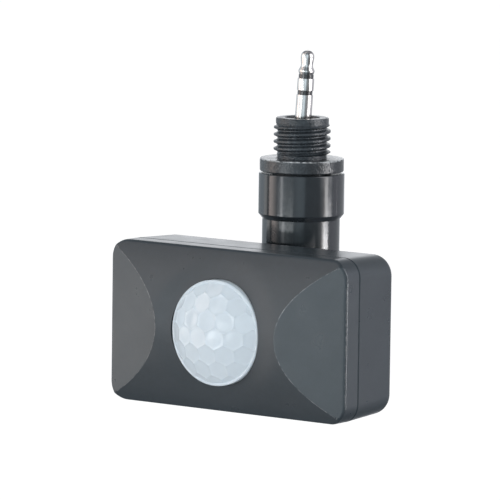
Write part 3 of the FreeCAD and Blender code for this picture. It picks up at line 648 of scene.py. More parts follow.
class Dresser:
    """Gives pieces their finish, slot, body and the node that they stand for."""

    def __init__(self, finishes: Finishes) -> None:
        """Keep the finishes.

        Args:
            finishes: The finishes of the detector.
        """
        self.finishes = finishes

    def dress(
        self, thing: Thing, angle: float, finish: Finish, body: Body, *nodes: str, weighted: bool = True
    ) -> None:
        """Shade a piece and put it on its body in its finish.

        Args:
            thing: The piece.
            angle: The angle in degrees up to which it is shaded smoothly.
            finish: Its finish.
            body: The body that it rides on.
            nodes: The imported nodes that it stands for.
            weighted: Whether its flat faces are kept flat.
        """
        Mesher.shade(thing, angle, weighted)
        thing.data.materials.clear()
        thing.data.materials.append(self.finishes.material(finish))
        thing.data.polygons.foreach_set("material_index", [0] * len(thing.data.polygons))
        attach(thing, body.value)
        if nodes:
            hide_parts(*nodes)
        log.info("%s: %d faces on %s", thing.name, len(thing.data.polygons), body.value)

    def dress_nodes(self, record: dict) -> None:
        """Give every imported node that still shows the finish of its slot."""
        known = Finishes.by_slot()
        slots = {part["node"]: part["material_slot"] for part in record["subparts"]}
        for name, thing in frame["nodes"].items():
            material = self.finishes.material(known[slots[name]])
            if not thing.data.materials:
                thing.data.materials.append(material)
            for place in thing.material_slots:
                place.material = material
            log.info("%s keeps its solid and takes %s", name, slots[name])


def middle(node: str) -> tuple[float, ...]:
    """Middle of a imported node's box."""
    low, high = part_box(node)
    return tuple((a + b) / 2 for a, b in zip(low, high))


@dataclass
class SubAssembly:
    """A group of pieces that are made together."""

    dresser: Dresser

    def build(self) -> None:
        """Make the pieces, and put each on its body in its finish."""
        raise NotImplementedError


@dataclass
class Housing(SubAssembly):
    """The head's two moulded halves."""

    corner: float = 4.0 * MM
    rear_corner: float = 4.4 * MM
    cover_depth: float = 4.2 * MM
    draft: float = 0.42 * MM
    rear_edge: float = 1.95 * MM
    rim_chamfer: float = 0.25 * MM
    wall: float = 2.2 * MM
    crown: float = 5.0 * MM
    facet_slope: float = math.tan(math.radians(17.2))
    facet_rise: float = 0.4 * MM
    edge: float = 0.5 * MM
    crest_blend: float = 0.04 * MM
    crest_zone: float = 0.3 * MM
    crest_clear: float = 0.8 * MM
    crest_lines: tuple[float, ...] = (-0.28, -0.168, -0.07, 0.0, 0.07, 0.168, 0.28)
    face_rows: int = 90
    crowding: float = 0.35
    barrel_columns: int = 34
    facet_columns: int = 26
    rim_steps: int = 6
    # Painted highlight along the facets' arcs and rolled side edges: its width, its fade towards the
    # middle, and its strength on each side.
    highlight_width: float = 0.14 * MM
    apex_reach: float = 7.0 * MM
    apex_highlight: float = 0.12
    left_highlight: tuple[float, float] = (0.75, 0.25)
    rim_highlight: float = 0.55
    rim_highlight_left: float = 0.3
    rim_highlight_inset: float = 0.13 * MM
    edge_reach: float = 0.1 * MM
    lens_hole: float = 11.12 * MM
    dish: float = 0.18 * MM
    dish_width: float = 5.5 * MM
    boss_inset: float = 4.6 * MM
    well: float = 2.35 * MM
    well_depth: float = 4.4 * MM
    well_skin: float = 0.3 * MM
    screw_head: float = 1.5 * MM
    inlet: float = 2.0 * MM
    dial_hole: float = 3.07 * MM
    dial_hole_edge: float = 0.25 * MM
    dial_hole_top: float = 6.0 * MM
    corner_steps: int = 20
    ear_inner: float = 5.1 * MM
    ear_thick: float = 2.8 * MM
    ear_radius: float = 5.8 * MM
    ear_foot: float = 1.5 * MM
    ear_root: float = 1.0 * MM
    ear_edge: float = 0.3 * MM

    def __post_init__(self) -> None:
        """Read the places that the frame holds."""
        low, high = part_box("front_cover")
        self.half_width = (high.x - low.x) / 2
        self.half_height = (high.z - low.z) / 2
        self.centre_z = (high.z + low.z) / 2
        self.parting = high.y
        self.border = high.y - self.cover_depth
        self.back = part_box("housing_screws")[1].y + self.well_depth - self.screw_head
        self.floor = self.back - self.wall
        self.pivot = Vector((0.0, 0.0, middle("pivot_nut")[2]))
        self.barrel_radius = (self.half_height**2 + self.crown**2) / (2 * self.crown)

    def barrel(self, z: np.ndarray) -> np.ndarray:
        """Depth of the face's curve about the horizontal axis."""
        return self.barrel_radius - self.crown - np.sqrt(self.barrel_radius**2 - z**2)

    def face(self, x: np.ndarray, z: np.ndarray) -> np.ndarray:
        """Depth of the face behind the border plane, in front of it where negative.

        Args:
            x: Places across.
            z: Heights over the middle.

        Returns:
            The face's depth at each place.
        """
        barrel = self.barrel(z)
        facet = -self.facet_rise - (self.half_width - np.abs(x)) * self.facet_slope
        gap = np.maximum(self.crest_blend - np.abs(barrel - facet), 0.0) / self.crest_blend
        share = np.clip((np.hypot(x, z) - self.lens_hole) / self.dish_width, 0.0, 1.0)
        dish = self.dish * (1.0 + np.cos(math.pi * share)) / 2
        return np.maximum(barrel, facet) + gap * gap * self.crest_blend / 4 + dish

    def crest(self, z: np.ndarray) -> np.ndarray:
        """Distance across from the middle to the edge between barrel and facet."""
        return self.half_width - (-self.facet_rise - self.barrel(z)) / self.facet_slope

    def side(self, z: np.ndarray, inset: float) -> np.ndarray:
        """Half the outline's width at each height, for an outline that is set in."""
        radius = self.corner - inset
        over = np.clip(np.abs(z) - (self.half_height - self.corner), 0.0, radius)
        return self.half_width - self.corner + np.sqrt(np.maximum(radius**2 - over**2, 0.0))

    def border_distance(self, x: np.ndarray, z: np.ndarray) -> np.ndarray:
        """Distance from the outline, inwards."""
        across = np.abs(x) - (self.half_width - self.corner)
        over = np.abs(z) - (self.half_height - self.corner)
        corner = self.corner - np.hypot(np.maximum(across, 0.0), np.maximum(over, 0.0))
        plain = np.minimum(self.corner - across, self.corner - over)
        return np.where((across > 0) & (over > 0), corner, plain)

    def face_grid(self, inset: float) -> np.ndarray:
        """Points of the face over the rounded outline.

        Args:
            inset: How far the outline and the face are set in.

        Returns:
            The points, as an array of (rows, columns, 3).
        """
        rows, zone = self.face_rows, self.crest_zone
        rim = self.edge * (1.0 - np.cos(np.linspace(0.0, math.pi / 2, self.rim_steps)))
        half = self.half_height - inset
        inner = half - self.edge
        between = inner * np.sin(np.linspace(-math.pi / 2, math.pi / 2, rows)) * self.crowding
        between = between + np.linspace(-inner, inner, rows) * (1.0 - self.crowding)
        heights = np.concatenate([-half + rim[:-1], between, (half - rim[:-1])[::-1]])
        lines = np.array(self.crest_lines) * MM
        columns = []
        for z in heights:
            reach = float(self.side(np.array(z), inset))
            edge_in = reach - self.edge
            crest = min(float(self.crest(np.array(z))), edge_in - self.crest_clear)
            on_barrel = np.linspace(0.0, crest - zone, self.barrel_columns, endpoint=False)
            on_facet = np.linspace(crest + zone, edge_in, self.facet_columns, endpoint=False)[1:]
            right = np.concatenate([on_barrel, crest + lines, on_facet, (reach - rim)[::-1]])
            columns.append(np.concatenate([-right[::-1], right[1:]]))
        x = np.array(columns)
        z = np.repeat(heights[:, None], x.shape[1], axis=1)
        scale = self.half_width / (self.half_width - inset)
        distance = self.border_distance(x * scale, z * (self.half_height / half))
        distance = np.clip(distance, 0.0, self.edge)
        roll = self.edge - np.sqrt(np.maximum(self.edge**2 - (self.edge - distance) ** 2, 0.0))
        y = self.face(x, z) + roll + inset
        return np.stack([x, y + self.border, z + self.centre_z], -1)

    def cover_shell(self) -> Thing:
        """Build the cover's closed shell from its outer and inner face."""
        outer, inner = self.face_grid(0.0), self.face_grid(self.wall)
        rows, columns = outer.shape[:2]
        outer, inner = outer.reshape(-1, 3), inner.reshape(-1, 3)
        loop = [(0, c) for c in range(columns)]
        loop += [(r, columns - 1) for r in range(1, rows)]
        loop += [(rows - 1, c) for c in range(columns - 2, -1, -1)]
        loop += [(r, 0) for r in range(rows - 2, 0, -1)]
        rim = np.array([r * columns + c for r, c in loop])
        total = rows * columns
        faces: list[tuple[int, ...]] = []
        for a in (r * columns + c for r in range(rows - 1) for c in range(columns - 1)):
            b, d = a + 1, a + columns
            faces.append((a, b, d + 1, d))
            faces.append((total + a, total + d, total + d + 1, total + b))
        towards = inner[rim] - outer[rim]
        towards[:, 1] = 0.0
        towards /= np.maximum(np.linalg.norm(towards, axis=1, keepdims=True), 1e-9)
        levels = []
        for ring, depth in (
            (outer[rim], self.parting - self.rim_chamfer),
            (outer[rim] + towards * self.rim_chamfer, self.parting),
            (inner[rim], self.parting),
        ):
            ring[:, 1] = depth
            levels.append(ring)
        previous = rim
        for index in range(len(levels)):
            current = np.arange(len(rim)) + 2 * total + index * len(rim)
            faces += self.band(previous, current)
            previous = current
        faces += self.band(previous, rim + total)
        thing = Mesher.object_from("cover_shell", np.concatenate([outer, inner] + levels), faces)
        Mesher.heal(thing, 1e-6)
        return thing

    @staticmethod
    def band(first: np.ndarray, second: np.ndarray) -> list[tuple[int, ...]]:
        """Faces between two closed rings of the same length."""
        faces = np.stack([first, np.roll(first, -1), np.roll(second, -1), second], -1)
        return [tuple(face) for face in faces.tolist()]

    def ring(self, inset: float, corner: float, depth: float) -> np.ndarray:
        """Points of a rounded rectangle at one depth."""
        half_w = self.half_width - inset - corner
        half_h = self.half_height - inset - corner
        points = []
        for sx, sz, start in ((1, 1, 0.0), (-1, 1, 0.5), (-1, -1, 1.0), (1, -1, 1.5)):
            for step in range(self.corner_steps + 1):
                angle = (start + 0.5 * step / self.corner_steps) * math.pi
                x = sx * half_w + corner * math.cos(angle)
                z = sz * half_h + corner * math.sin(angle)
                points.append((x, depth, z + self.centre_z))
        return np.array(points)

    def rear_tub(self) -> Thing:
        """Build the rear housing's closed tub from rings, front to back and inside again."""
        rings = [self.ring(self.rim_chamfer, self.corner - self.rim_chamfer, self.parting)]
        start = self.parting + self.rim_chamfer
        straight_end = self.back - self.rear_edge
        for depth in np.linspace(start, straight_end, 5):
            share = (depth - start) / (self.back - start)
            corner = self.corner + (self.rear_corner - self.corner) * share
            rings.append(self.ring(self.draft * share, corner, depth))
        base = self.draft * (straight_end - start) / (self.back - start)
        for angle in np.linspace(0.0, math.pi / 2, 11)[1:]:
            cut = self.rear_edge * (1.0 - math.cos(angle))
            depth = straight_end + self.rear_edge * math.sin(angle)
            rings.append(self.ring(base + cut, self.rear_corner - cut, depth))
        last_outer = len(rings) - 1
        rings.append(self.ring(self.wall + self.draft, self.rear_corner - self.wall, self.floor))
        rings.append(self.ring(self.wall, self.corner - self.wall, self.parting))
        numbers = np.arange(len(rings) * len(rings[0])).reshape(len(rings), -1)
        faces: list[tuple[int, ...]] = []
        for index in range(last_outer):
            faces += self.band(numbers[index], numbers[index + 1])
        faces += [tuple(numbers[index].tolist()) for index in (last_outer, last_outer + 1)]
        faces += self.band(numbers[-2], numbers[-1])
        faces += self.band(numbers[-1], numbers[0])
        thing = Mesher.object_from("rear_tub", np.concatenate(rings), faces)
        Mesher.heal(thing)
        return thing

    def mark_edges(self, cover: Thing) -> None:
        """Mark the facets' arcs and the rolled side edges, where the finish paints a speckled
        highlight, stronger on the right.
        """
        x, y, z = Mesher.places(cover).T
        z = z - self.centre_z
        away = np.abs(np.abs(x) - self.crest(z))
        outside = np.abs(y - self.border - self.face(x, z)) < self.edge_reach
        border = self.border_distance(x, z)
        arcs = np.clip(1.0 - away / self.highlight_width, 0.0, 1.0) * outside * (border > self.edge)
        # The painted highlight fades towards the middle on the right arcs, grows with height on the
        # left, and is weaker on the left rim.
        apex = np.clip(np.abs(z) / self.apex_reach, self.apex_highlight, 1.0)
        level, slope = self.left_highlight
        arcs *= np.where(x > 0.0, apex, level + slope * z / self.half_height)
        rim = np.clip(1.0 - np.abs(border - self.rim_highlight_inset) / self.rim_highlight_inset, 0.0, 1.0)
        rim *= np.where(x > 0.0, self.rim_highlight, self.rim_highlight_left * self.rim_highlight)
        rim *= np.abs(z) < self.half_height - self.corner
        Mesher.mark(cover, "edge", np.maximum(arcs, rim))

    def ear(self, side: int) -> Thing:
        """One ear of the tilt joint, with rounded edges."""
        x = side * self.ear_inner
        root = self.back - self.ear_root
        foot = (self.back + self.ear_foot, self.pivot.z - self.ear_radius - self.ear_foot)
        outline = [Vector((x, root, foot[1]))]
        outline += Mesher.arc(x, foot, self.ear_foot, math.pi, math.pi / 2, 6)
        outline += Mesher.arc(x, (0.0, self.pivot.z), self.ear_radius, -math.pi / 2, math.pi / 2, 32)
        outline.append(Vector((x, root, self.pivot.z + self.ear_radius)))
        ear = Mesher.prism("ear", outline, Vector((side * self.ear_thick, 0.0, 0.0)))
        Mesher.bevel(ear, self.ear_edge)
        return ear

    def dial_cutter(self, node: str) -> Thing:
        """Cutter for one dial's hole, with its lead-in edge."""
        x, depth, _ = middle(node)
        share = (depth - self.parting) / (self.back - self.parting)
        bottom = self.centre_z - self.half_height + self.draft * share
        top = self.centre_z - self.dial_hole_top
        profile = [
            (0.0, bottom - SPARE),
            (self.dial_hole + self.dial_hole_edge + SPARE, bottom - SPARE),
            (self.dial_hole, bottom + self.dial_hole_edge),
            (self.dial_hole, top),
            (0.0, top),
        ]
        return Mesher.lathe("dial_cutter", profile, 72, Matrix.Translation((x, depth, 0.0)))

    def build(self) -> None:
        """Make both halves and put them on the head."""
        cover = self.cover_shell()
        front = Vector((0.0, self.border - FAR, self.centre_z))
        behind = Vector((0.0, self.parting + 5 * SPARE, self.centre_z))
        cutter = Mesher.rod("lens_cutter", self.lens_hole, front, behind, 224)
        Mesher.combine(cover, [cutter], "DIFFERENCE")
        self.mark_edges(cover)
        self.dresser.dress(cover, 32.0, Finishes.HOUSING, Body.HEAD, "front_cover")

        rear = self.rear_tub()
        Mesher.combine(rear, [self.ear(-1), self.ear(1)], "UNION")
        cutters = []
        well_floor = self.floor + self.well_skin
        for sx, sz in ((-1, -1), (-1, 1), (1, -1), (1, 1)):
            x = sx * (self.half_width - self.boss_inset)
            z = self.centre_z + sz * (self.half_height - self.boss_inset)
            top = Vector((x, self.back + 5 * SPARE, z))
            cutters.append(Mesher.rod("well", self.well, Vector((x, well_floor, z)), top, 48))
        inlet_z = middle("lead_grommet")[2]
        start = Vector((0.0, self.floor - SPARE, inlet_z))
        end = Vector((0.0, self.back + 2 * SPARE, inlet_z))
        cutters.append(Mesher.rod("inlet", self.inlet, start, end, 48))
        cutters += [self.dial_cutter(name) for name in ("time_dial", "light_dial", "range_dial")]
        reach = Vector((FAR, 0.0, 0.0))
        cutters.append(Mesher.rod("pivot_bore", PIVOT_HOLE, self.pivot - reach, self.pivot + reach))
        Mesher.combine(rear, cutters, "DIFFERENCE")
        self.dresser.dress(rear, 32.0, Finishes.HOUSING, Body.HEAD, "rear_housing")


@dataclass
class LensDome(SubAssembly):
    """Milky dome with its honeycomb of small concave lenses."""

    housing: Housing
    radius: float = 11.0 * MM
    wall: float = 0.9 * MM
    rim_rise: float = 4.5 * MM
    height: float = 4.6 * MM
    seat: float = 0.2 * MM
    flange_width: float = 2.6 * MM
    flange: float = 1.0 * MM
    cell: float = 4.2 * MM
    lattice_x: float = -1.45 * MM
    lattice_z: float = -0.6 * MM
    hollow: float = 0.3
    lip: float = 1.3
    lip_power: float = 8.0
    margin: float = 0.3 * MM
    fade_end: float = 1.8
    rings: int = 110
    inner_rings: int = 24
    segments: int = 480

    def __post_init__(self) -> None:
        """Work out the dome's outer sphere and where its rim lies on it."""
        self.sphere = (self.radius**2 + self.height**2) / (2 * self.height)
        self.rim_angle = math.asin(self.radius / self.sphere)

    def profile(self) -> Profile:
        """Closed outline of the lens, with its outer cap first."""
        middle_z = self.rim_rise + self.height - self.sphere

        def curve(sphere: float, start: float, end: float, steps: int) -> Profile:
            angles = np.linspace(start, end, steps + 1)
            return [(sphere * math.sin(a), middle_z + sphere * math.cos(a)) for a in angles]

        inner_radius = self.radius - self.wall
        inner_sphere = self.sphere - self.wall
        bottom = self.seat - self.flange
        outside = self.radius + self.flange_width
        skirt = [(self.radius, self.seat), (outside, self.seat)]
        skirt += [(outside, bottom), (inner_radius, bottom)]
        cap = curve(self.sphere, 0.0, self.rim_angle, self.rings)
        inner_angle = math.asin(inner_radius / inner_sphere)
        return cap + skirt + curve(inner_sphere, inner_angle, 0.0, self.inner_rings)

    def honeycomb(self, centre: Vector) -> TreeMaker:
        """Build the tree that presses the lens cells into the outer cap.

        Args:
            centre: The centre of the dome's outer sphere.

        Returns:
            The tree, with the lattice's sizes as named inputs.
        """
        tree = TreeMaker("honeycomb")
        cell = tree.named("Cell Width", self.cell)
        sphere = tree.named("Sphere Radius", self.sphere)
        centre_y = tree.named("Centre Y", centre.y)
        centre_z = tree.named("Centre Z", centre.z)
        shift_x = tree.named("Lattice X", self.lattice_x)
        shift_z = tree.named("Lattice Z", self.lattice_z)
        hollow = tree.named("Hollow", self.hollow)
        lip = tree.named("Lip", self.lip)
        power = tree.named("Lip Power", self.lip_power)
        rim = tree.named("Rim Angle", self.rim_angle)
        margin = tree.named("Margin", self.margin)

        # Places on the sphere are rolled out flat, at their true distance from the dome's top.
        place = tree.node("GeometryNodeInputPosition").outputs[0]
        away = tree.vector("SUBTRACT", place, tree.combined(Y=centre_y, Z=centre_z))
        spoke = tree.vector("NORMALIZE", away)
        parts = tree.separated(spoke)
        angle = tree.math("ARCCOSINE", tree.math("MULTIPLY", parts["Y"], -1.0))
        flat = tree.vector("NORMALIZE", tree.combined(X=parts["X"], Y=parts["Z"]))
        mapped = tree.vector("SCALE", flat, tree.math("MULTIPLY", angle, sphere))
        moved = tree.vector("SUBTRACT", mapped, tree.combined(X=shift_x, Y=shift_z))

        # The nearest centre of a honeycomb is the nearer one of two rectangular lattices.
        row = tree.math("MULTIPLY", cell, math.sqrt(3.0) / 2)
        half = tree.combined(X=tree.math("MULTIPLY", cell, 0.5), Y=row, Z=1.0)
        minus = tree.vector("SCALE", half, -1.0)
        ways = []
        for start in (moved, tree.vector("ADD", moved, half)):
            wrapped = tree.vector("WRAP", start, half, minus)
            ways.append(tree.vector("LENGTH", tree.vector("MULTIPLY", wrapped, (1.0, 1.0, 0.0))))
        corner = tree.math("DIVIDE", cell, math.sqrt(3.0))
        reach = tree.math("DIVIDE", tree.math("MINIMUM", *ways), corner)
        square = tree.math("MULTIPLY", reach, reach)
        bowl = tree.math("MULTIPLY", tree.math("SUBTRACT", square, 1.0), hollow)
        brim = tree.math("MULTIPLY", tree.math("SUBTRACT", tree.math("POWER", reach, power), 1.0), lip)
        double = tree.math("MULTIPLY", sphere, 2.0)
        sagitta = tree.math("DIVIDE", tree.math("MULTIPLY", corner, corner), double)
        depth = tree.math("MULTIPLY", tree.math("ADD", bowl, brim), sagitta)

        inside = tree.math("MULTIPLY", tree.math("SUBTRACT", rim, angle), sphere)
        far = tree.math("MULTIPLY", margin, self.fade_end)
        limits = {"Value": inside, "From Min": margin, "From Max": far}
        fade = tree.node("ShaderNodeMapRange", limits, interpolation_type="SMOOTHSTEP")
        cap = tree.node("GeometryNodeInputNamedAttribute", {"Name": "cap"}, data_type="FLOAT")
        weight = tree.math("MULTIPLY", fade.outputs["Result"], cap.outputs["Attribute"])
        offset = tree.vector("SCALE", spoke, tree.math("MULTIPLY", depth, weight))
        press = {"Geometry": tree.source.outputs["Geometry"], "Offset": offset}
        pressed = tree.node("GeometryNodeSetPosition", press).outputs["Geometry"]
        tree.close(pressed, self.dresser.finishes.material(Finishes.LENS))
        return tree

    def build(self) -> None:
        """Make the dome and put it in the cover."""
        border, centre_z = self.housing.border, self.housing.centre_z
        place = Matrix.Translation((0.0, border, centre_z)) @ Matrix.Rotation(QUARTER, 4, "X")
        dome = Mesher.lathe("lens_cells", self.profile(), self.segments, place)
        centre = Vector((0.0, border - (self.rim_rise + self.height - self.sphere), centre_z))
        points = Mesher.places(dome)
        distance = np.linalg.norm(points - np.array(centre), axis=1)
        cap = (np.abs(distance - self.sphere) < 1e-5) & (points[:, 1] <= border - self.rim_rise + 1e-6)
        Mesher.mark(dome, "cap", cap)
        log.info("lens cap holds %d points", int(cap.sum()))
        self.honeycomb(centre).run(dome)
        self.dresser.dress(dome, 40.0, Finishes.LENS, Body.HEAD, "lens_dome", weighted=False)


@dataclass
class Spigot(SubAssembly):
    """Threaded spigot and its washer."""

    thread_radius: float = 6.0 * MM
    root_radius: float = 5.2 * MM
    pitch: float = 1.5 * MM
    steps_per_turn: int = 24
    thread_length: float = 7.4 * MM
    lead_radius: float = 5.58 * MM
    mouth: float = 8.6 * MM
    bore: float = 3.6 * MM
    undercut: float = 5.3 * MM
    crest_height: float = 0.845 * MM
    crest_heading: float = math.radians(-54.3)
    start: float = 0.75 * MM
    start_length: float = 0.5 * MM
    runout: float = 0.7
    crest_reach: float = 0.45
    flank_reach: float = 0.34
    root_fade: float = 1.4
    crest_fade: float = 1.6
    sunk: float = 0.02 * MM
    lead_gap: float = 0.05 * MM
    edge: float = 0.3 * MM
    edge_corner: float = 0.09 * MM
    neck_radius: float = 5.4 * MM
    neck_height: float = 1.6 * MM
    journal: float = 6.2 * MM
    flange: float = 0.8 * MM
    washer_gap: float = 0.05 * MM
    washer_edge: float = 0.25 * MM
    washer_top_edge: float = 0.2 * MM
    # Strength of the painted highlight on the washer's upper outer edge.
    rim_highlight: float = 0.9
    rim_reach: float = 0.3 * MM
    segments: int = 192

    def flank(self, phase: np.ndarray) -> np.ndarray:
        """Height of the thread's form from root to crest, at a share of the pitch."""
        away = np.abs(phase - np.round(phase))
        rise = np.clip((self.crest_reach - away) / self.flank_reach, 0.0, 1.0)
        return rise * rise * (3.0 - 2.0 * rise)

    def mark_rim(self, washer: Thing, outer: float, top: float) -> None:
        """Mark the washer's upper outer edge, where the finish paints a highlight.

        Args:
            washer: The washer.
            outer: Its outer radius.
            top: The height of its upper face.
        """
        x, y, z = Mesher.places(washer).T
        limit = 0.9 * self.rim_reach
        rim = (outer - np.hypot(x, y) < limit) & (top - z < limit)
        Mesher.mark(washer, "edge", self.rim_highlight * rim)

    def spigot(self, flange_radius: float, seat: float) -> Thing:
        """Wind the spigot's outline round, with the thread's form at each angle.

        Args:
            flange_radius: The radius of the flange under the washer.
            seat: The height of the flange's lower face.

        Returns:
            The spigot.
        """
        low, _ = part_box("threaded_spigot")
        heights = np.arange(0.0, self.thread_length, self.pitch / self.steps_per_turn)
        below = [
            (self.bore, low.z),
            (self.neck_radius, low.z),
            (self.neck_radius, low.z + self.neck_height),
            (self.journal, low.z + self.neck_height),
            (self.journal, seat),
            (flange_radius, seat),
            (flange_radius, seat + self.flange),
            (self.undercut, seat + self.flange),
            (self.undercut, -self.sunk),
        ]
        above = [
            (self.lead_radius, self.thread_length + self.lead_gap),
            (self.lead_radius, self.mouth - self.edge),
            (self.lead_radius - self.edge_corner, self.mouth - self.edge_corner),
            (self.lead_radius - self.edge, self.mouth),
            (self.bore + self.edge, self.mouth),
            (self.bore + self.edge_corner, self.mouth - self.edge_corner),
            (self.bore, self.mouth - self.edge),
        ]
        fade = np.clip((self.thread_length - heights) / (self.runout * self.pitch), 0.0, 1.0)
        bare = 1.0 - np.clip(fade * self.root_fade, 0.0, 1.0)
        root = self.root_radius + (self.lead_radius - self.root_radius) * bare
        grown = np.clip((heights - self.start) / self.start_length, 0.0, 1.0)
        whole = np.clip(fade * self.crest_fade, 0.0, 1.0)
        columns = []
        for angle in np.linspace(0.0, 2 * math.pi, self.segments, endpoint=False):
            turn = (angle - self.crest_heading) / (2 * math.pi)
            form = self.flank((heights - self.crest_height) / self.pitch - turn)
            radius = root + (self.thread_radius - root) * form * grown * whole
            profile = below + list(zip(radius, heights)) + above
            columns.append([(r * math.cos(angle), r * math.sin(angle), z) for r, z in profile])
        return Mesher.wound("spigot_thread", np.array(columns))

    def build(self) -> None:
        """Make the spigot with its real thread, and the washer."""
        low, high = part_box("threaded_spigot")
        washer_low, washer_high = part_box("sealing_washer")
        flange_radius = (high.x - low.x) / 2
        spigot = self.spigot(flange_radius, washer_low.z)
        self.dresser.dress(
            spigot, 42.0, Finishes.SPIGOT, Body.SPIGOT, "threaded_spigot", weighted=False
        )

        inner = self.undercut + self.washer_gap
        outer = (washer_high.x - washer_low.x) / 2
        step = washer_low.z + self.flange
        profile = [
            (inner, step),
            (flange_radius, step),
            (flange_radius, washer_low.z),
            (outer, washer_low.z),
            (outer, washer_high.z - self.rim_reach),
            (outer, washer_high.z),
            (outer - self.rim_reach, washer_high.z),
            (inner, washer_high.z),
        ]
        top_edge = self.washer_top_edge
        radii = [0.0, 0.0, 0.0, self.washer_edge, 0.0, top_edge, 0.0, top_edge]
        washer = Mesher.lathe("washer_ring", Mesher.rounded(profile, radii, 6), 160)
        self.mark_rim(washer, outer, washer_high.z)
        self.dresser.dress(washer, 40.0, Finishes.WASHER, Body.SPIGOT, "sealing_washer")


@dataclass
class JackPlug(SubAssembly):
    """Three-pole plug that stands out of the spigot's bore and leans a little."""

    radius: float = 1.75 * MM
    insulator_radius: float = 1.58 * MM
    tip_length: float = 5.2 * MM
    first_gap: float = 0.75 * MM
    ring_length: float = 2.6 * MM
    second_gap: float = 0.85 * MM
    reach: float = 14.2 * MM
    recess: float = 3.0 * MM
    shank_radius: float = 1.5 * MM
    shank_length: float = 6.0 * MM
    seat_gap: float = 0.12 * MM
    edge: float = 0.1 * MM
    lean: float = math.radians(3.2)
    heading: float = math.radians(35.0)
    mouth: float = 8.6 * MM

    def placement(self, from_tip: float) -> Matrix:
        """Frame with its origin on the plug's axis at a distance from the tip."""
        flat, turned = math.sin(self.lean), self.heading
        axis = Vector((flat * math.cos(turned), flat * math.sin(turned), math.cos(self.lean)))
        seat = Vector((0.0, 0.0, self.mouth - self.recess))
        point = seat + axis * (self.reach + self.recess - from_tip)
        turn = Vector((0, 0, 1)).rotation_difference(axis).to_matrix().to_4x4()
        return Matrix.Translation(point) @ turn

    def tip_profile(self) -> Profile:
        """Outline of the tip, from its back face to its nose, its waist and its shoulder."""
        length = self.tip_length
        shoulder = self.radius - 0.05 * MM
        profile = [
            (0.0, 0.0),
            (0.0, length),
            (0.75 * MM, length - 0.22 * MM),
            (1.30 * MM, length - 0.75 * MM),
            (1.45 * MM, length - 1.40 * MM),
            (1.23 * MM, length - 3.40 * MM),
            (shoulder, length - 4.30 * MM),
            (shoulder, length - 4.60 * MM),
            (self.insulator_radius - 0.1 * MM, 0.0),
        ]
        radii = [0.0, 0.0, 0.9 * MM, 0.9 * MM, 2.0 * MM, 1.2 * MM, 0.12 * MM, 0.12 * MM, 0.0]
        return Mesher.rounded(profile, radii, 6)

    def turned(self, name: str, outline: Profile, end: float, finish: Finish, node: str) -> None:
        """Turn one contact or insulator about the plug's axis and dress it.

        Args:
            name: The piece's name.
            outline: Its outline, with heights up from its back end.
            end: The distance of its back end from the tip.
            finish: Its finish.
            node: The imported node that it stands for.
        """
        thing = Mesher.lathe(name, outline, 96, self.placement(end))
        self.dresser.dress(thing, 35.0, finish, Body.SPIGOT, node)

    def build(self) -> None:
        """Make the plug's contacts and insulators, from the tip down."""
        self.turned("plug_nose", self.tip_profile(), self.tip_length, Finishes.NICKEL, "plug_tip")
        start = self.tip_length
        band = (self.radius, self.edge, Finishes.NICKEL)
        gap = (self.insulator_radius, 0.0, Finishes.INSULATOR)
        for name, node, length, (radius, edge, finish) in (
            ("plug_gap_front", "plug_tip_insulator", self.first_gap, gap),
            ("plug_ring_band", "plug_ring", self.ring_length, band),
            ("plug_gap_rear", "plug_ring_insulator", self.second_gap, gap),
        ):
            profile = [(0.0, 0.0), (radius, 0.0), (radius, length), (0.0, length)]
            outline = Mesher.rounded(profile, [0.0, edge, edge, 0.0], 4)
            self.turned(name, outline, start + length, finish, node)
            start += length
        seat = self.reach + self.recess - self.seat_gap
        length = seat - start + self.shank_length
        profile = [
            (0.0, 0.0),
            (self.shank_radius, 0.0),
            (self.shank_radius, self.shank_length),
            (self.radius, self.shank_length),
            (self.radius, length),
            (0.0, length),
        ]
        outline = Mesher.rounded(profile, [0.0, 0.2 * MM, 0.0, self.edge, self.edge, 0.0], 4)
        self.turned("plug_barrel", outline, start + length, Finishes.NICKEL, "plug_sleeve")


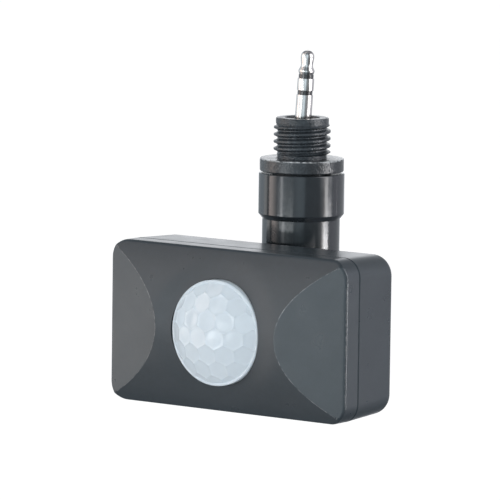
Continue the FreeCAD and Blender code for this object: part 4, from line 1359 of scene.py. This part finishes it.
@dataclass
class Neck(SubAssembly):
    """Coupling sleeve and the arm that carries the head."""

    housing: Housing
    sleeve_bore: float = 7.54 * MM
    lip_bore: float = 6.25 * MM
    lip: float = 2.7 * MM
    chamfer: float = 1.05 * MM
    tube: float = 8.2 * MM
    bore: float = 5.0 * MM
    seat: float = 7.5 * MM
    outlet: float = 1.5 * MM
    shoulder_rise: float = 6.7 * MM
    knuckle_half: float = 4.5 * MM
    knuckle_radius: float = 6.0 * MM
    knuckle_edge: float = 0.3 * MM
    knuckle_inset: float = 0.01 * MM
    floor: float = 1.2 * MM
    flat_gap: float = 0.5 * MM
    flat_top: float = 0.4 * MM
    line_width: float = 0.22 * MM
    line_proud: float = 0.05 * MM
    line_sunk: float = 0.02 * MM
    line_depth: float = 0.15 * MM
    line_rows: int = 12
    line_start: float = 0.3 * MM
    line_stop: float = 0.6 * MM
    line_shares: tuple[float, ...] = (-1.0, -0.5, 0.0, 0.5, 1.0)

    def sleeve(self) -> Thing:
        """Turn the coupling sleeve."""
        low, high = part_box("coupling_sleeve")
        outer = (high.x - low.x) / 2
        profile = [
            (self.lip_bore, high.z),
            (outer, high.z),
            (outer, low.z + self.chamfer),
            (self.tube, low.z),
            (self.sleeve_bore, low.z),
            (self.sleeve_bore, high.z - self.lip),
            (self.lip_bore, high.z - self.lip),
        ]
        radii = [0.1 * MM, 0.28 * MM, 0.35 * MM, 0.12 * MM, 0.0, 0.0, 0.1 * MM]
        return Mesher.lathe("sleeve_collar", Mesher.rounded(profile, radii, 6), 192)

    def parting_line(self, side: int) -> Thing:
        """One fine mould line on the sleeve's side, as a thin curved bar sunk into it."""
        low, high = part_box("coupling_sleeve")
        outer = (high.x - low.x) / 2
        rows, count = self.line_rows, len(self.line_shares)
        points = []
        start, stop = low.z + self.chamfer + self.line_start, high.z - self.line_stop
        for z in np.linspace(start, stop, rows):
            for share in self.line_shares:
                y = share * self.line_width / 2
                proud = self.line_proud * (1.0 - share * share)
                points.append((side * (math.sqrt(outer**2 - y**2) - self.line_sunk + proud), y, z))
        front = np.array(points)
        back = front.copy()
        back[:, 0] = side * (outer - self.line_depth)
        total, last = rows * count, count - 1
        faces = []
        for a in range(0, (rows - 1) * count, count):
            for b in range(a, a + last):
                faces.append((b, b + 1, b + count + 1, b + count))
                faces.append((total + b, total + b + count, total + b + count + 1, total + b + 1))
            faces.append((a, a + count, total + a + count, total + a))
            faces.append((a + last, total + a + last, total + a + last + count, a + last + count))
        for a in range(last):
            b = total - count + a
            faces.append((a, total + a, total + a + 1, a + 1))
            faces.append((b, b + 1, total + b + 1, total + b))
        line = Mesher.object_from("line", np.concatenate([front, back]), faces)
        Mesher.heal(line)
        return line

    def knuckle(self, shoulder: float, pivot_z: float) -> Thing:
        """Flat-sided end of the arm, round about the pivot."""
        half = self.knuckle_half
        reach = math.sqrt(self.tube**2 - half**2)
        rise = shoulder - pivot_z
        lift = math.asin(self.knuckle_radius / math.hypot(reach, rise))
        turn = math.atan2(reach, rise) + lift - math.pi / 2
        side = reach - self.knuckle_inset
        top = shoulder + self.floor + SPARE
        outline = [Vector((-half, side, top)), Vector((-half, side, shoulder))]
        outline += Mesher.arc(-half, (0.0, pivot_z), self.knuckle_radius, turn, -math.pi - turn, 40)
        outline += [Vector((-half, -side, shoulder)), Vector((-half, -side, top))]
        thing = Mesher.prism("knuckle", outline, Vector((2 * half, 0.0, 0.0)))
        Mesher.bevel(thing, self.knuckle_edge)
        return thing

    def arm(self) -> Thing:
        """Build the tube with its seat, knuckle, bore and flat front."""
        housing = self.housing
        low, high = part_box("neck_arm")
        seat_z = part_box("coupling_sleeve")[0].z
        shoulder = housing.pivot.z + self.shoulder_rise
        profile = [
            (0.0, shoulder),
            (self.tube, shoulder),
            (self.tube, seat_z),
            (self.seat, seat_z),
            (self.seat, high.z),
            (0.0, high.z),
        ]
        outline = Mesher.rounded(profile, [0.0, 0.4 * MM, 0.0, 0.0, 0.15 * MM, 0.0], 5)
        thing = Mesher.lathe("arm_tube", outline, 192)
        Mesher.combine(thing, [self.knuckle(shoulder, housing.pivot.z)], "UNION")
        front = housing.back + self.flat_gap
        top = housing.centre_z + housing.half_height - self.flat_top
        corners = ((front - FAR, top), (front, top), (front, low.z - FAR), (front - FAR, low.z - FAR))
        inlet = Vector((0.0, 0.0, middle("lead_grommet")[2]))
        bottom = Vector((0.0, 0.0, shoulder + self.floor))
        across = Vector((FAR, 0.0, 0.0))
        cutters = [
            Mesher.prism("flat", [Vector((-FAR, y, z)) for y, z in corners], 2 * across),
            Mesher.rod("bore", self.bore, bottom, Vector((0.0, 0.0, high.z + SPARE)), 96),
            Mesher.rod("outlet", self.outlet, inlet, inlet - Vector((0.0, FAR, 0.0)), 48),
            Mesher.rod("pivot", PIVOT_HOLE, housing.pivot - across, housing.pivot + across),
        ]
        Mesher.combine(thing, cutters, "DIFFERENCE")
        return thing

    def build(self) -> None:
        """Make the neck's pieces."""
        sleeve = self.sleeve()
        self.dresser.dress(sleeve, 40.0, Finishes.NECK, Body.NECK, "coupling_sleeve")
        lines = Mesher.joined("sleeve_parting_lines", [self.parting_line(-1), self.parting_line(1)])
        self.dresser.dress(lines, 60.0, Finishes.NECK, Body.NECK, weighted=False)
        arm = self.arm()
        self.dresser.dress(arm, 32.0, Finishes.ARM, Body.NECK, "neck_arm")


@dataclass(frozen=True)
class PanHead:
    """Radii of a pan-head screw's thread and head, the head's height, and the thread's pitch."""

    shank: float
    head: float
    height: float
    pitch: float = 0.7 * MM


@dataclass
class Fasteners(SubAssembly):
    """Housing screws, and the tilt joint's screw, nut and washers."""

    housing: Housing
    cover: PanHead = PanHead(1.1 * MM, 2.1 * MM, 1.5 * MM)
    pivot: PanHead = PanHead(2.0 * MM, 3.8 * MM, 2.4 * MM)
    core: float = 0.84
    head_flat: float = 0.62
    head_side: float = 0.42
    recess_width: float = 0.15
    recess_reach: float = 0.6
    recess_depth: float = 0.6
    tip: float = 0.2 * MM
    nut_face: float = 0.99
    nut_cone: float = 1.08
    nut_flats: float = 7.0 * MM
    nut_chamfer: float = 0.6 * MM
    nut_edge: float = 0.08 * MM
    washer_start: float = 4.55 * MM
    washer_edge: float = 0.05 * MM

    def screw(self, name: str, form: PanHead, length: float) -> Thing:
        """Pan-head screw along Z, its seat at the origin, with a cross recess and a thread.

        Args:
            name: The object's name.
            form: The screw's radii and height.
            length: Length under the head.

        Returns:
            The screw.
        """
        shank, head, height, pitch = form.shank, form.head, form.height, form.pitch
        root = shank * self.core
        profile = [(0.0, height), (head * self.head_flat, height), (head, height * self.head_side)]
        profile += [(head, 0.0), (shank, 0.0), (0.0, 0.0)]
        radii = [0.0, head * 0.5, height * 0.3, height * 0.08, 0.0, 0.0]
        outline = Mesher.rounded(profile, radii, 5)[:-1]
        z = -0.4 * pitch
        while z > -length + pitch:
            outline += [(root, z), (shank, z - pitch * 0.4)]
            outline += [(shank, z - pitch * 0.5), (root, z - pitch * 0.9)]
            z -= pitch
        outline += [(root * 0.9, -length + self.tip), (0.0, -length)]
        thing = Mesher.lathe(name, outline, 48)
        width, reach = head * self.recess_width, head * self.recess_reach
        depth = height * self.recess_depth
        for x, y in ((reach, width), (width, reach)):
            corners = [Vector((a, b, height - depth)) for a, b in ((-x, -y), (x, -y), (x, y), (-x, y))]
            cutter = Mesher.prism("recess", corners, Vector((0, 0, depth + SPARE)))
            Mesher.combine(thing, [cutter], "DIFFERENCE")
        return thing

    def pattern(self, seat: float) -> TreeMaker:
        """Build the tree that sets one screw at the four corners of a rectangle.

        Args:
            seat: The depth of the screws' seats.

        Returns:
            The tree, with the rectangle's sizes and place as named inputs.
        """
        housing = self.housing
        tree = TreeMaker("screw_pattern")
        width = tree.named("Spacing X", 2 * (housing.half_width - housing.boss_inset))
        height = tree.named("Spacing Z", 2 * (housing.half_height - housing.boss_inset))
        place = tree.combined(Y=tree.named("Seat Y", seat), Z=tree.named("Centre Z", housing.centre_z))
        sizes = {"Size X": width, "Size Y": height, "Vertices X": 2, "Vertices Y": 2}
        grid = tree.node("GeometryNodeMeshGrid", sizes).outputs["Mesh"]
        upright = {"Geometry": grid, "Translation": place, "Rotation": (QUARTER, 0.0, 0.0)}
        stand = tree.node("GeometryNodeTransform", upright).outputs["Geometry"]
        screw = tree.source.outputs["Geometry"]
        copies = {"Points": stand, "Instance": screw, "Rotation": (-QUARTER, 0.0, 0.0)}
        spread = tree.node("GeometryNodeInstanceOnPoints", copies).outputs["Instances"]
        tree.close(spread, self.dresser.finishes.material(Finishes.SCREW))
        return tree

    def nut(self) -> Thing:
        """Hexagon nut on the left ear, with chamfered corners."""
        low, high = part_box("pivot_nut")
        pivot_z = self.housing.pivot.z
        height = high.x - low.x
        corner = self.nut_flats / 2 / math.cos(math.pi / 6)
        outline = Mesher.arc(low.x, (0.0, pivot_z), corner, 0.0, 5 * math.pi / 3, 5)
        thing = Mesher.prism("pivot_hex", outline, Vector((height, 0, 0)))
        face = self.nut_flats / 2 * self.nut_face
        wide = corner * self.nut_cone
        dome = [(0.0, 0.0), (face, 0.0), (wide, self.nut_chamfer), (wide, height), (0.0, height)]
        cone = Mesher.lathe("cone", dome, 96, Mesher.sideways(low.x, pivot_z))
        Mesher.combine(thing, [cone], "INTERSECT")
        start = Vector((low.x - SPARE, 0, pivot_z))
        end = Vector((high.x + SPARE, 0, pivot_z))
        Mesher.combine(thing, [Mesher.rod("hole", PIVOT_HOLE, start, end)], "DIFFERENCE")
        Mesher.bevel(thing, self.nut_edge, 2)
        return thing

    def washers(self) -> Thing:
        """The two friction washers beside the knuckle."""
        low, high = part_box("friction_washers")
        outer = (high.z - low.z) / 2
        thick = high.x - self.washer_start
        profile = [(PIVOT_HOLE, 0.0), (outer, 0.0), (outer, thick), (PIVOT_HOLE, thick)]
        outline = Mesher.rounded(profile, [self.washer_edge] * 4, 3)
        z = middle("friction_washers")[2]
        places = [Mesher.sideways(x, z) for x in (low.x, self.washer_start)]
        discs = [Mesher.lathe("washer", outline, 96, place) for place in places]
        return Mesher.joined("friction_discs", discs)

    def build(self) -> None:
        """Make and place every fastener that shows."""
        low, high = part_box("housing_screws")
        group = self.screw("cover_screws", self.cover, high.y - low.y - self.cover.height)
        self.pattern(high.y - self.cover.height).run(group)
        low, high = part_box("pivot_screw")
        seat = high.x - self.pivot.height
        bolt = self.screw("pivot_bolt", self.pivot, seat - low.x)
        bolt.data.transform(Mesher.sideways(seat, self.housing.pivot.z))
        for thing, angle, finish, node in (
            (group, 35.0, Finishes.SCREW, "housing_screws"),
            (bolt, 35.0, Finishes.SCREW, "pivot_screw"),
            (self.nut(), 32.0, Finishes.SCREW, "pivot_nut"),
            (self.washers(), 35.0, Finishes.NYLON, "friction_washers"),
        ):
            self.dresser.dress(thing, angle, finish, Body.HEAD, node)


@dataclass
class Adjusters(SubAssembly):
    """The three adjuster dials on the underside."""

    radius: float = 3.0 * MM
    height: float = 3.6 * MM
    stem: float = 1.2 * MM
    slot_half: float = 0.45 * MM
    slot_reach: float = 2.04 * MM
    slot_depth: float = 1.1 * MM
    ribs: int = 24
    rib_radius: float = 0.11 * MM
    rib_sunk: float = 0.12 * MM
    rib_short: float = 1.0 * MM
    rib_lift: float = 0.2 * MM
    bodies: dict[str, Body] = field(
        default_factory=lambda: {
            "time_dial": Body.TIME,
            "light_dial": Body.LIGHT,
            "range_dial": Body.RANGE,
        }
    )

    def rib_ring(self) -> TreeMaker:
        """Build the tree that sets fine ribs round a dial's edge."""
        tree = TreeMaker("rib_ring")
        count = tree.named("Ribs", self.ribs, "NodeSocketInt")
        radius = tree.named("Ring Radius", self.radius - self.rib_sunk)
        rib = tree.named("Rib Radius", self.rib_radius)
        length = tree.named("Rib Length", self.height - self.rib_short)
        place = tree.combined(**{axis: tree.named(axis, 0.0) for axis in "XYZ"})
        circle = tree.node("GeometryNodeMeshCircle", {"Vertices": count, "Radius": radius})
        moved = {"Geometry": circle.outputs["Mesh"], "Translation": place}
        ring = tree.node("GeometryNodeTransform", moved)
        bar = tree.node("GeometryNodeMeshCylinder", {"Vertices": 8, "Radius": rib, "Depth": length})
        copies = {"Points": ring.outputs["Geometry"], "Instance": bar.outputs["Mesh"]}
        spread = tree.node("GeometryNodeInstanceOnPoints", copies)
        both = tree.node("GeometryNodeJoinGeometry", {0: tree.source.outputs["Geometry"]})
        tree.feed(both.inputs[0], spread.outputs["Instances"])
        tree.close(both.outputs[0], self.dresser.finishes.material(Finishes.DIAL))
        return tree

    def dial(self, node: str) -> Thing:
        """Make one dial with its slot, pointer and stem."""
        low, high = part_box(node)
        x, y, _ = middle(node)
        edge = self.radius - self.rib_sunk
        top = low.z + self.height
        profile = [(0.0, low.z), (edge, low.z), (edge, top)]
        profile += [(self.stem, top), (self.stem, high.z), (0.0, high.z)]
        outline = Mesher.rounded(profile, [0.0, 0.25 * MM, 0.1 * MM, 0.0, 0.1 * MM, 0.0], 4)
        thing = Mesher.lathe(node + "_knob", outline, 96, Matrix.Translation((x, y, 0.0)))
        half, reach = self.slot_half, self.slot_reach
        slot = [(-reach, -half), (reach, -half), (reach, half), (-reach, half)]
        pointer = [(-half, -reach), (half, -reach), (half, 0.0), (-half, 0.0)]
        for corners in (slot, pointer):
            outline = [Vector((x + a, y + b, low.z - SPARE)) for a, b in corners]
            cutter = Mesher.prism("slot", outline, Vector((0, 0, self.slot_depth + SPARE)))
            Mesher.combine(thing, [cutter], "DIFFERENCE")
        return thing

    def build(self) -> None:
        """Make the dials and put each on its own body."""
        ribs = self.rib_ring()
        for node, body in self.bodies.items():
            low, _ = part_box(node)
            x, y, _ = middle(node)
            thing = self.dial(node)
            ribs.run(thing, {"X": x, "Y": y, "Z": low.z + self.height / 2 + self.rib_lift})
            self.dresser.dress(thing, 35.0, Finishes.DIAL, body, node)


@dataclass(frozen=True)
class Lamp:
    """A soft lamp that looks at the part and shows in no reflection."""

    name: str
    place: Sequence[float]
    size: float
    watts: float
    colour: Colour = (1.0, 1.0, 1.0)


@dataclass(frozen=True)
class Card:
    """A small card that only glossy surfaces see.

    It has a heading from the part in degrees, the height of its middle, and its width and height.
    """

    name: str
    heading: float
    lift: float
    size: tuple[float, float]
    watts: float
    colour: Colour = (1.0, 1.0, 1.0)


class Gloss:
    """What glossy surfaces see of the studio: a brightness by heading, times one by height."""

    SCALE = 10.5
    HEADINGS = [
        (-180, (0.060, 0.062, 0.066)),
        (-157, (0.070, 0.073, 0.078)),
        (-151, (0.150, 0.154, 0.160)),
        (-136, (0.150, 0.154, 0.160)),
        (-122, (0.045, 0.050, 0.054)),
        (-102, (0.062, 0.070, 0.077)),
        (-89, (0.088, 0.099, 0.110)),
        (-77, (0.150, 0.152, 0.154)),
        (-71, (0.150, 0.150, 0.150)),
        (-68, (0.020, 0.020, 0.022)),
        (-62, (0.020, 0.020, 0.022)),
        (-60, (0.355, 0.310, 0.292)),
        (-50, (0.330, 0.292, 0.276)),
        (-41, (0.190, 0.178, 0.172)),
        (-33, (0.072, 0.074, 0.078)),
        (-24, (0.062, 0.068, 0.076)),
        (-22, (0.400, 0.410, 0.420)),
        (-18, (0.400, 0.410, 0.420)),
        (-14, (0.085, 0.096, 0.106)),
        (-8, (0.058, 0.068, 0.073)),
        (9, (0.062, 0.072, 0.078)),
        (30, (0.100, 0.118, 0.130)),
        (41, (0.090, 0.108, 0.120)),
        (48, (0.030, 0.034, 0.037)),
        (84, (0.032, 0.034, 0.036)),
        (94, (0.070, 0.072, 0.074)),
        (99, (0.160, 0.150, 0.149)),
        (108, (0.160, 0.150, 0.149)),
        (115, (0.090, 0.094, 0.102)),
        (145, (0.086, 0.085, 0.095)),
        (158, (0.066, 0.068, 0.074)),
        (180, (0.060, 0.062, 0.066)),
    ]
    HEIGHTS = [
        (0.0, (0.15, 0.16, 0.17)),
        (0.20, (0.20, 0.21, 0.22)),
        (0.36, (0.66, 0.66, 0.66)),
        (0.46, (0.90, 0.90, 0.90)),
        (0.62, (1.0, 1.0, 1.0)),
        (0.73, (0.80, 0.80, 0.80)),
        (0.82, (0.38, 0.38, 0.39)),
        (1.0, (0.30, 0.31, 0.32)),
    ]


@dataclass
class Studio:
    """Floor, light and camera."""

    camera_place: Vector = field(default_factory=lambda: Vector((0.632946, -0.899958, 0.114217)))
    azimuth: float = math.radians(35.672)
    elevation: float = math.radians(6.937)
    roll: float = math.radians(0.786)
    focal_pixels: float = 5267.08
    image_pixels: float = 500.0
    sensor: float = 36.0
    view_end: float = 100.0
    floor_drop: float = 0.07
    floor_size: float = 12.0
    floor_colour: tuple[float, ...] = (0.8, 0.8, 0.8, 1.0)
    plain_level: float = 0.60
    floor_glow: float = 0.55
    card_distance: float = 0.3
    aim: tuple[float, ...] = (0.0, -0.01, -0.03)
    lamps: tuple[Lamp, ...] = (
        Lamp("key", (-0.85, -0.70, -0.12), 0.26, 6.2, (1.0, 0.98, 0.96)),
        Lamp("fill", (0.9, -0.45, 0.08), 0.5, 3.2, (0.95, 0.98, 1.0)),
        Lamp("bounce", (-0.2, -1.1, -0.05), 0.3, 1.8),
    )
    cards: tuple[Card, ...] = (
        Card("front card", -3.0, -0.0750, (0.20, 0.040), 0.050, (0.93, 0.98, 1.0)),
        Card("upper card", -9.0, -0.0532, (0.24, 0.008), 0.036, (0.93, 0.98, 1.0)),
        Card("top card", -10.0, 0.022, (0.18, 0.03), 0.030, (0.93, 0.98, 1.0)),
        Card("pane", -5.2, 0.005, (0.034, 0.024), 0.018),
        Card("strip", 105.0, 0.0, (0.0525, 0.2), 0.165),
        Card("left card", -72.0, -0.072, (0.16, 0.035), 0.020, (1.0, 0.91, 0.83)),
        Card("thread card", 105.0, 0.033, (0.20, 0.134), 0.15, (0.97, 0.96, 1.0)),
        Card("side card", 114.0, -0.064, (0.085, 0.03), 0.15, (1.0, 0.985, 1.0)),
        Card("high card", 103.0, 0.17, (0.22, 0.24), 0.50, (0.97, 0.97, 1.0)),
    )

    def camera(self) -> None:
        """Set the camera as the photograph's."""
        a, e, r = self.azimuth, self.elevation, self.roll
        back = Vector((math.sin(a) * math.cos(e), -math.cos(a) * math.cos(e), math.sin(e)))
        right = Vector((math.cos(a), math.sin(a), 0.0))
        up = back.cross(right)
        turned_right = right * math.cos(r) + up * math.sin(r)
        turned_up = up * math.cos(r) - right * math.sin(r)
        data = bpy.data.cameras.new("camera")
        data.sensor_width = self.sensor
        data.lens = self.focal_pixels * self.sensor / self.image_pixels
        data.clip_end = self.view_end
        camera = Mesher.linked("camera", data)
        matrix = Matrix((turned_right, turned_up, back)).transposed().to_4x4()
        matrix.translation = self.camera_place
        camera.matrix_world = matrix
        bpy.context.scene.camera = camera

    def floor(self) -> None:
        """Lay the pale floor, which renders white and keeps the shadow."""
        low = CAD_BOX[0][2] - self.floor_drop
        half = self.floor_size / 2
        corners = [(-half, -half, low), (half, -half, low), (half, half, low), (-half, half, low)]
        floor = Mesher.object_from("floor", np.array(corners), [(0, 1, 2, 3)])
        material = bpy.data.materials.new("floor_white")
        material.use_nodes = True
        tree = Nodes(material.node_tree)
        path = tree.node("ShaderNodeLightPath").outputs
        seen = tree.math("MAXIMUM", path["Is Camera Ray"], path["Is Transmission Ray"])
        values = {
            "Base Color": self.floor_colour,
            "Roughness": 0.9,
            "Specular IOR Level": 0.0,
            "Emission Color": (1.0, 1.0, 1.0, 1.0),
            "Emission Strength": tree.math("MULTIPLY", seen, self.floor_glow),
        }
        for name, value in values.items():
            tree.feed(tree.tree.nodes["Principled BSDF"].inputs[name], value)
        floor.data.materials.append(material)
        floor.visible_glossy = False

    @staticmethod
    def ramp(tree: Nodes, value: Socket, stops: list[tuple[float, Colour]]) -> Socket:
        """Return the colour of a ramp with the given stops at a value."""
        node = tree.node("ShaderNodeValToRGB", {"Fac": value})
        band = node.color_ramp
        band.interpolation = "EASE"
        while len(band.elements) < len(stops):
            band.elements.new(0.5)
        for element, (place, colour) in zip(band.elements, stops):
            element.position = place
            element.color = (*colour, 1.0)
        return node.outputs["Color"]

    def world(self) -> None:
        """White behind the object, a plain level on it, and soft boxes in its gloss."""
        world = bpy.data.worlds.new("studio")
        bpy.context.scene.world = world
        world.use_nodes = True
        tree = Nodes(world.node_tree)
        parts = tree.separated(tree.node("ShaderNodeTexCoord").outputs["Generated"])
        heading = tree.math("ARCTAN2", parts["X"], tree.math("MULTIPLY", parts["Y"], -1.0))
        share = tree.math("ADD", tree.math("DIVIDE", heading, 2 * math.pi), 0.5)
        stops = [((angle + 180) / 360, colour) for angle, colour in Gloss.HEADINGS]
        level = tree.math("ADD", tree.math("MULTIPLY", parts["Z"], 0.5), 0.5)
        ramps = self.ramp(tree, share, stops), self.ramp(tree, level, Gloss.HEIGHTS)
        both = tree.vector("MULTIPLY", *ramps)
        gloss = tree.vector("SCALE", both, Gloss.SCALE)
        path = tree.node("ShaderNodeLightPath").outputs
        plain = tree.mixed(path["Is Glossy Ray"], (self.plain_level,) * 3 + (1.0,), gloss)
        seen = tree.math("MAXIMUM", path["Is Camera Ray"], path["Is Transmission Ray"])
        last = tree.mixed(seen, plain, (1.0, 1.0, 1.0, 1.0))
        tree.feed(tree.tree.nodes["Background"].inputs["Color"], last)

    def hang(self, lamp: Lamp) -> Thing:
        """Hang a lamp that looks at the part's middle, and return it."""
        data = bpy.data.lights.new(lamp.name, "AREA")
        data.shape = "DISK"
        data.size = lamp.size
        data.energy = lamp.watts
        data.color = lamp.colour
        place = Vector(lamp.place)
        turn = (place - Vector(self.aim)).to_track_quat("Z", "Y").to_matrix().to_4x4()
        hung = Mesher.linked(lamp.name, data)
        hung.matrix_world = Matrix.Translation(place) @ turn
        hung.visible_glossy = False
        return hung

    def put(self, card: Card) -> None:
        """Put up a card that faces the part's axis squarely."""
        towards = Matrix.Rotation(math.radians(card.heading), 3, "Z") @ Vector((0.0, -1.0, 0.0))
        place = towards * self.card_distance + Vector((0.0, 0.0, card.lift))
        held = self.hang(Lamp(card.name, place, card.size[0], card.watts, card.colour))
        held.rotation_euler = towards.to_track_quat("Z", "Y").to_euler()
        held.data.shape = "RECTANGLE"
        held.data.size_y = card.size[1]
        held.visible_glossy = True
        held.visible_diffuse = False
        held.visible_camera = False
        held.visible_transmission = False

    def build(self) -> None:
        """Set the stage."""
        self.camera()
        self.floor()
        self.world()
        for lamp in self.lamps:
            self.hang(lamp)
        for card in self.cards:
            self.put(card)
        bpy.context.scene.view_settings.view_transform = "Standard"
        log.info("studio is set")


def main() -> None:
    """Build the studio and every sub-assembly in order."""
    logging.basicConfig(level=logging.INFO, format="%(name)s: %(message)s")
    Studio().build()
    dresser = Dresser(Finishes())
    dresser.dress_nodes(frame["record"])
    housing = Housing(dresser)
    for assembly in (
        housing,
        LensDome(dresser, housing),
        Spigot(dresser),
        JackPlug(dresser),
        Neck(dresser, housing),
        Fasteners(dresser, housing),
        Adjusters(dresser),
    ):
        assembly.build()


if __name__ == "__main__":
    main()
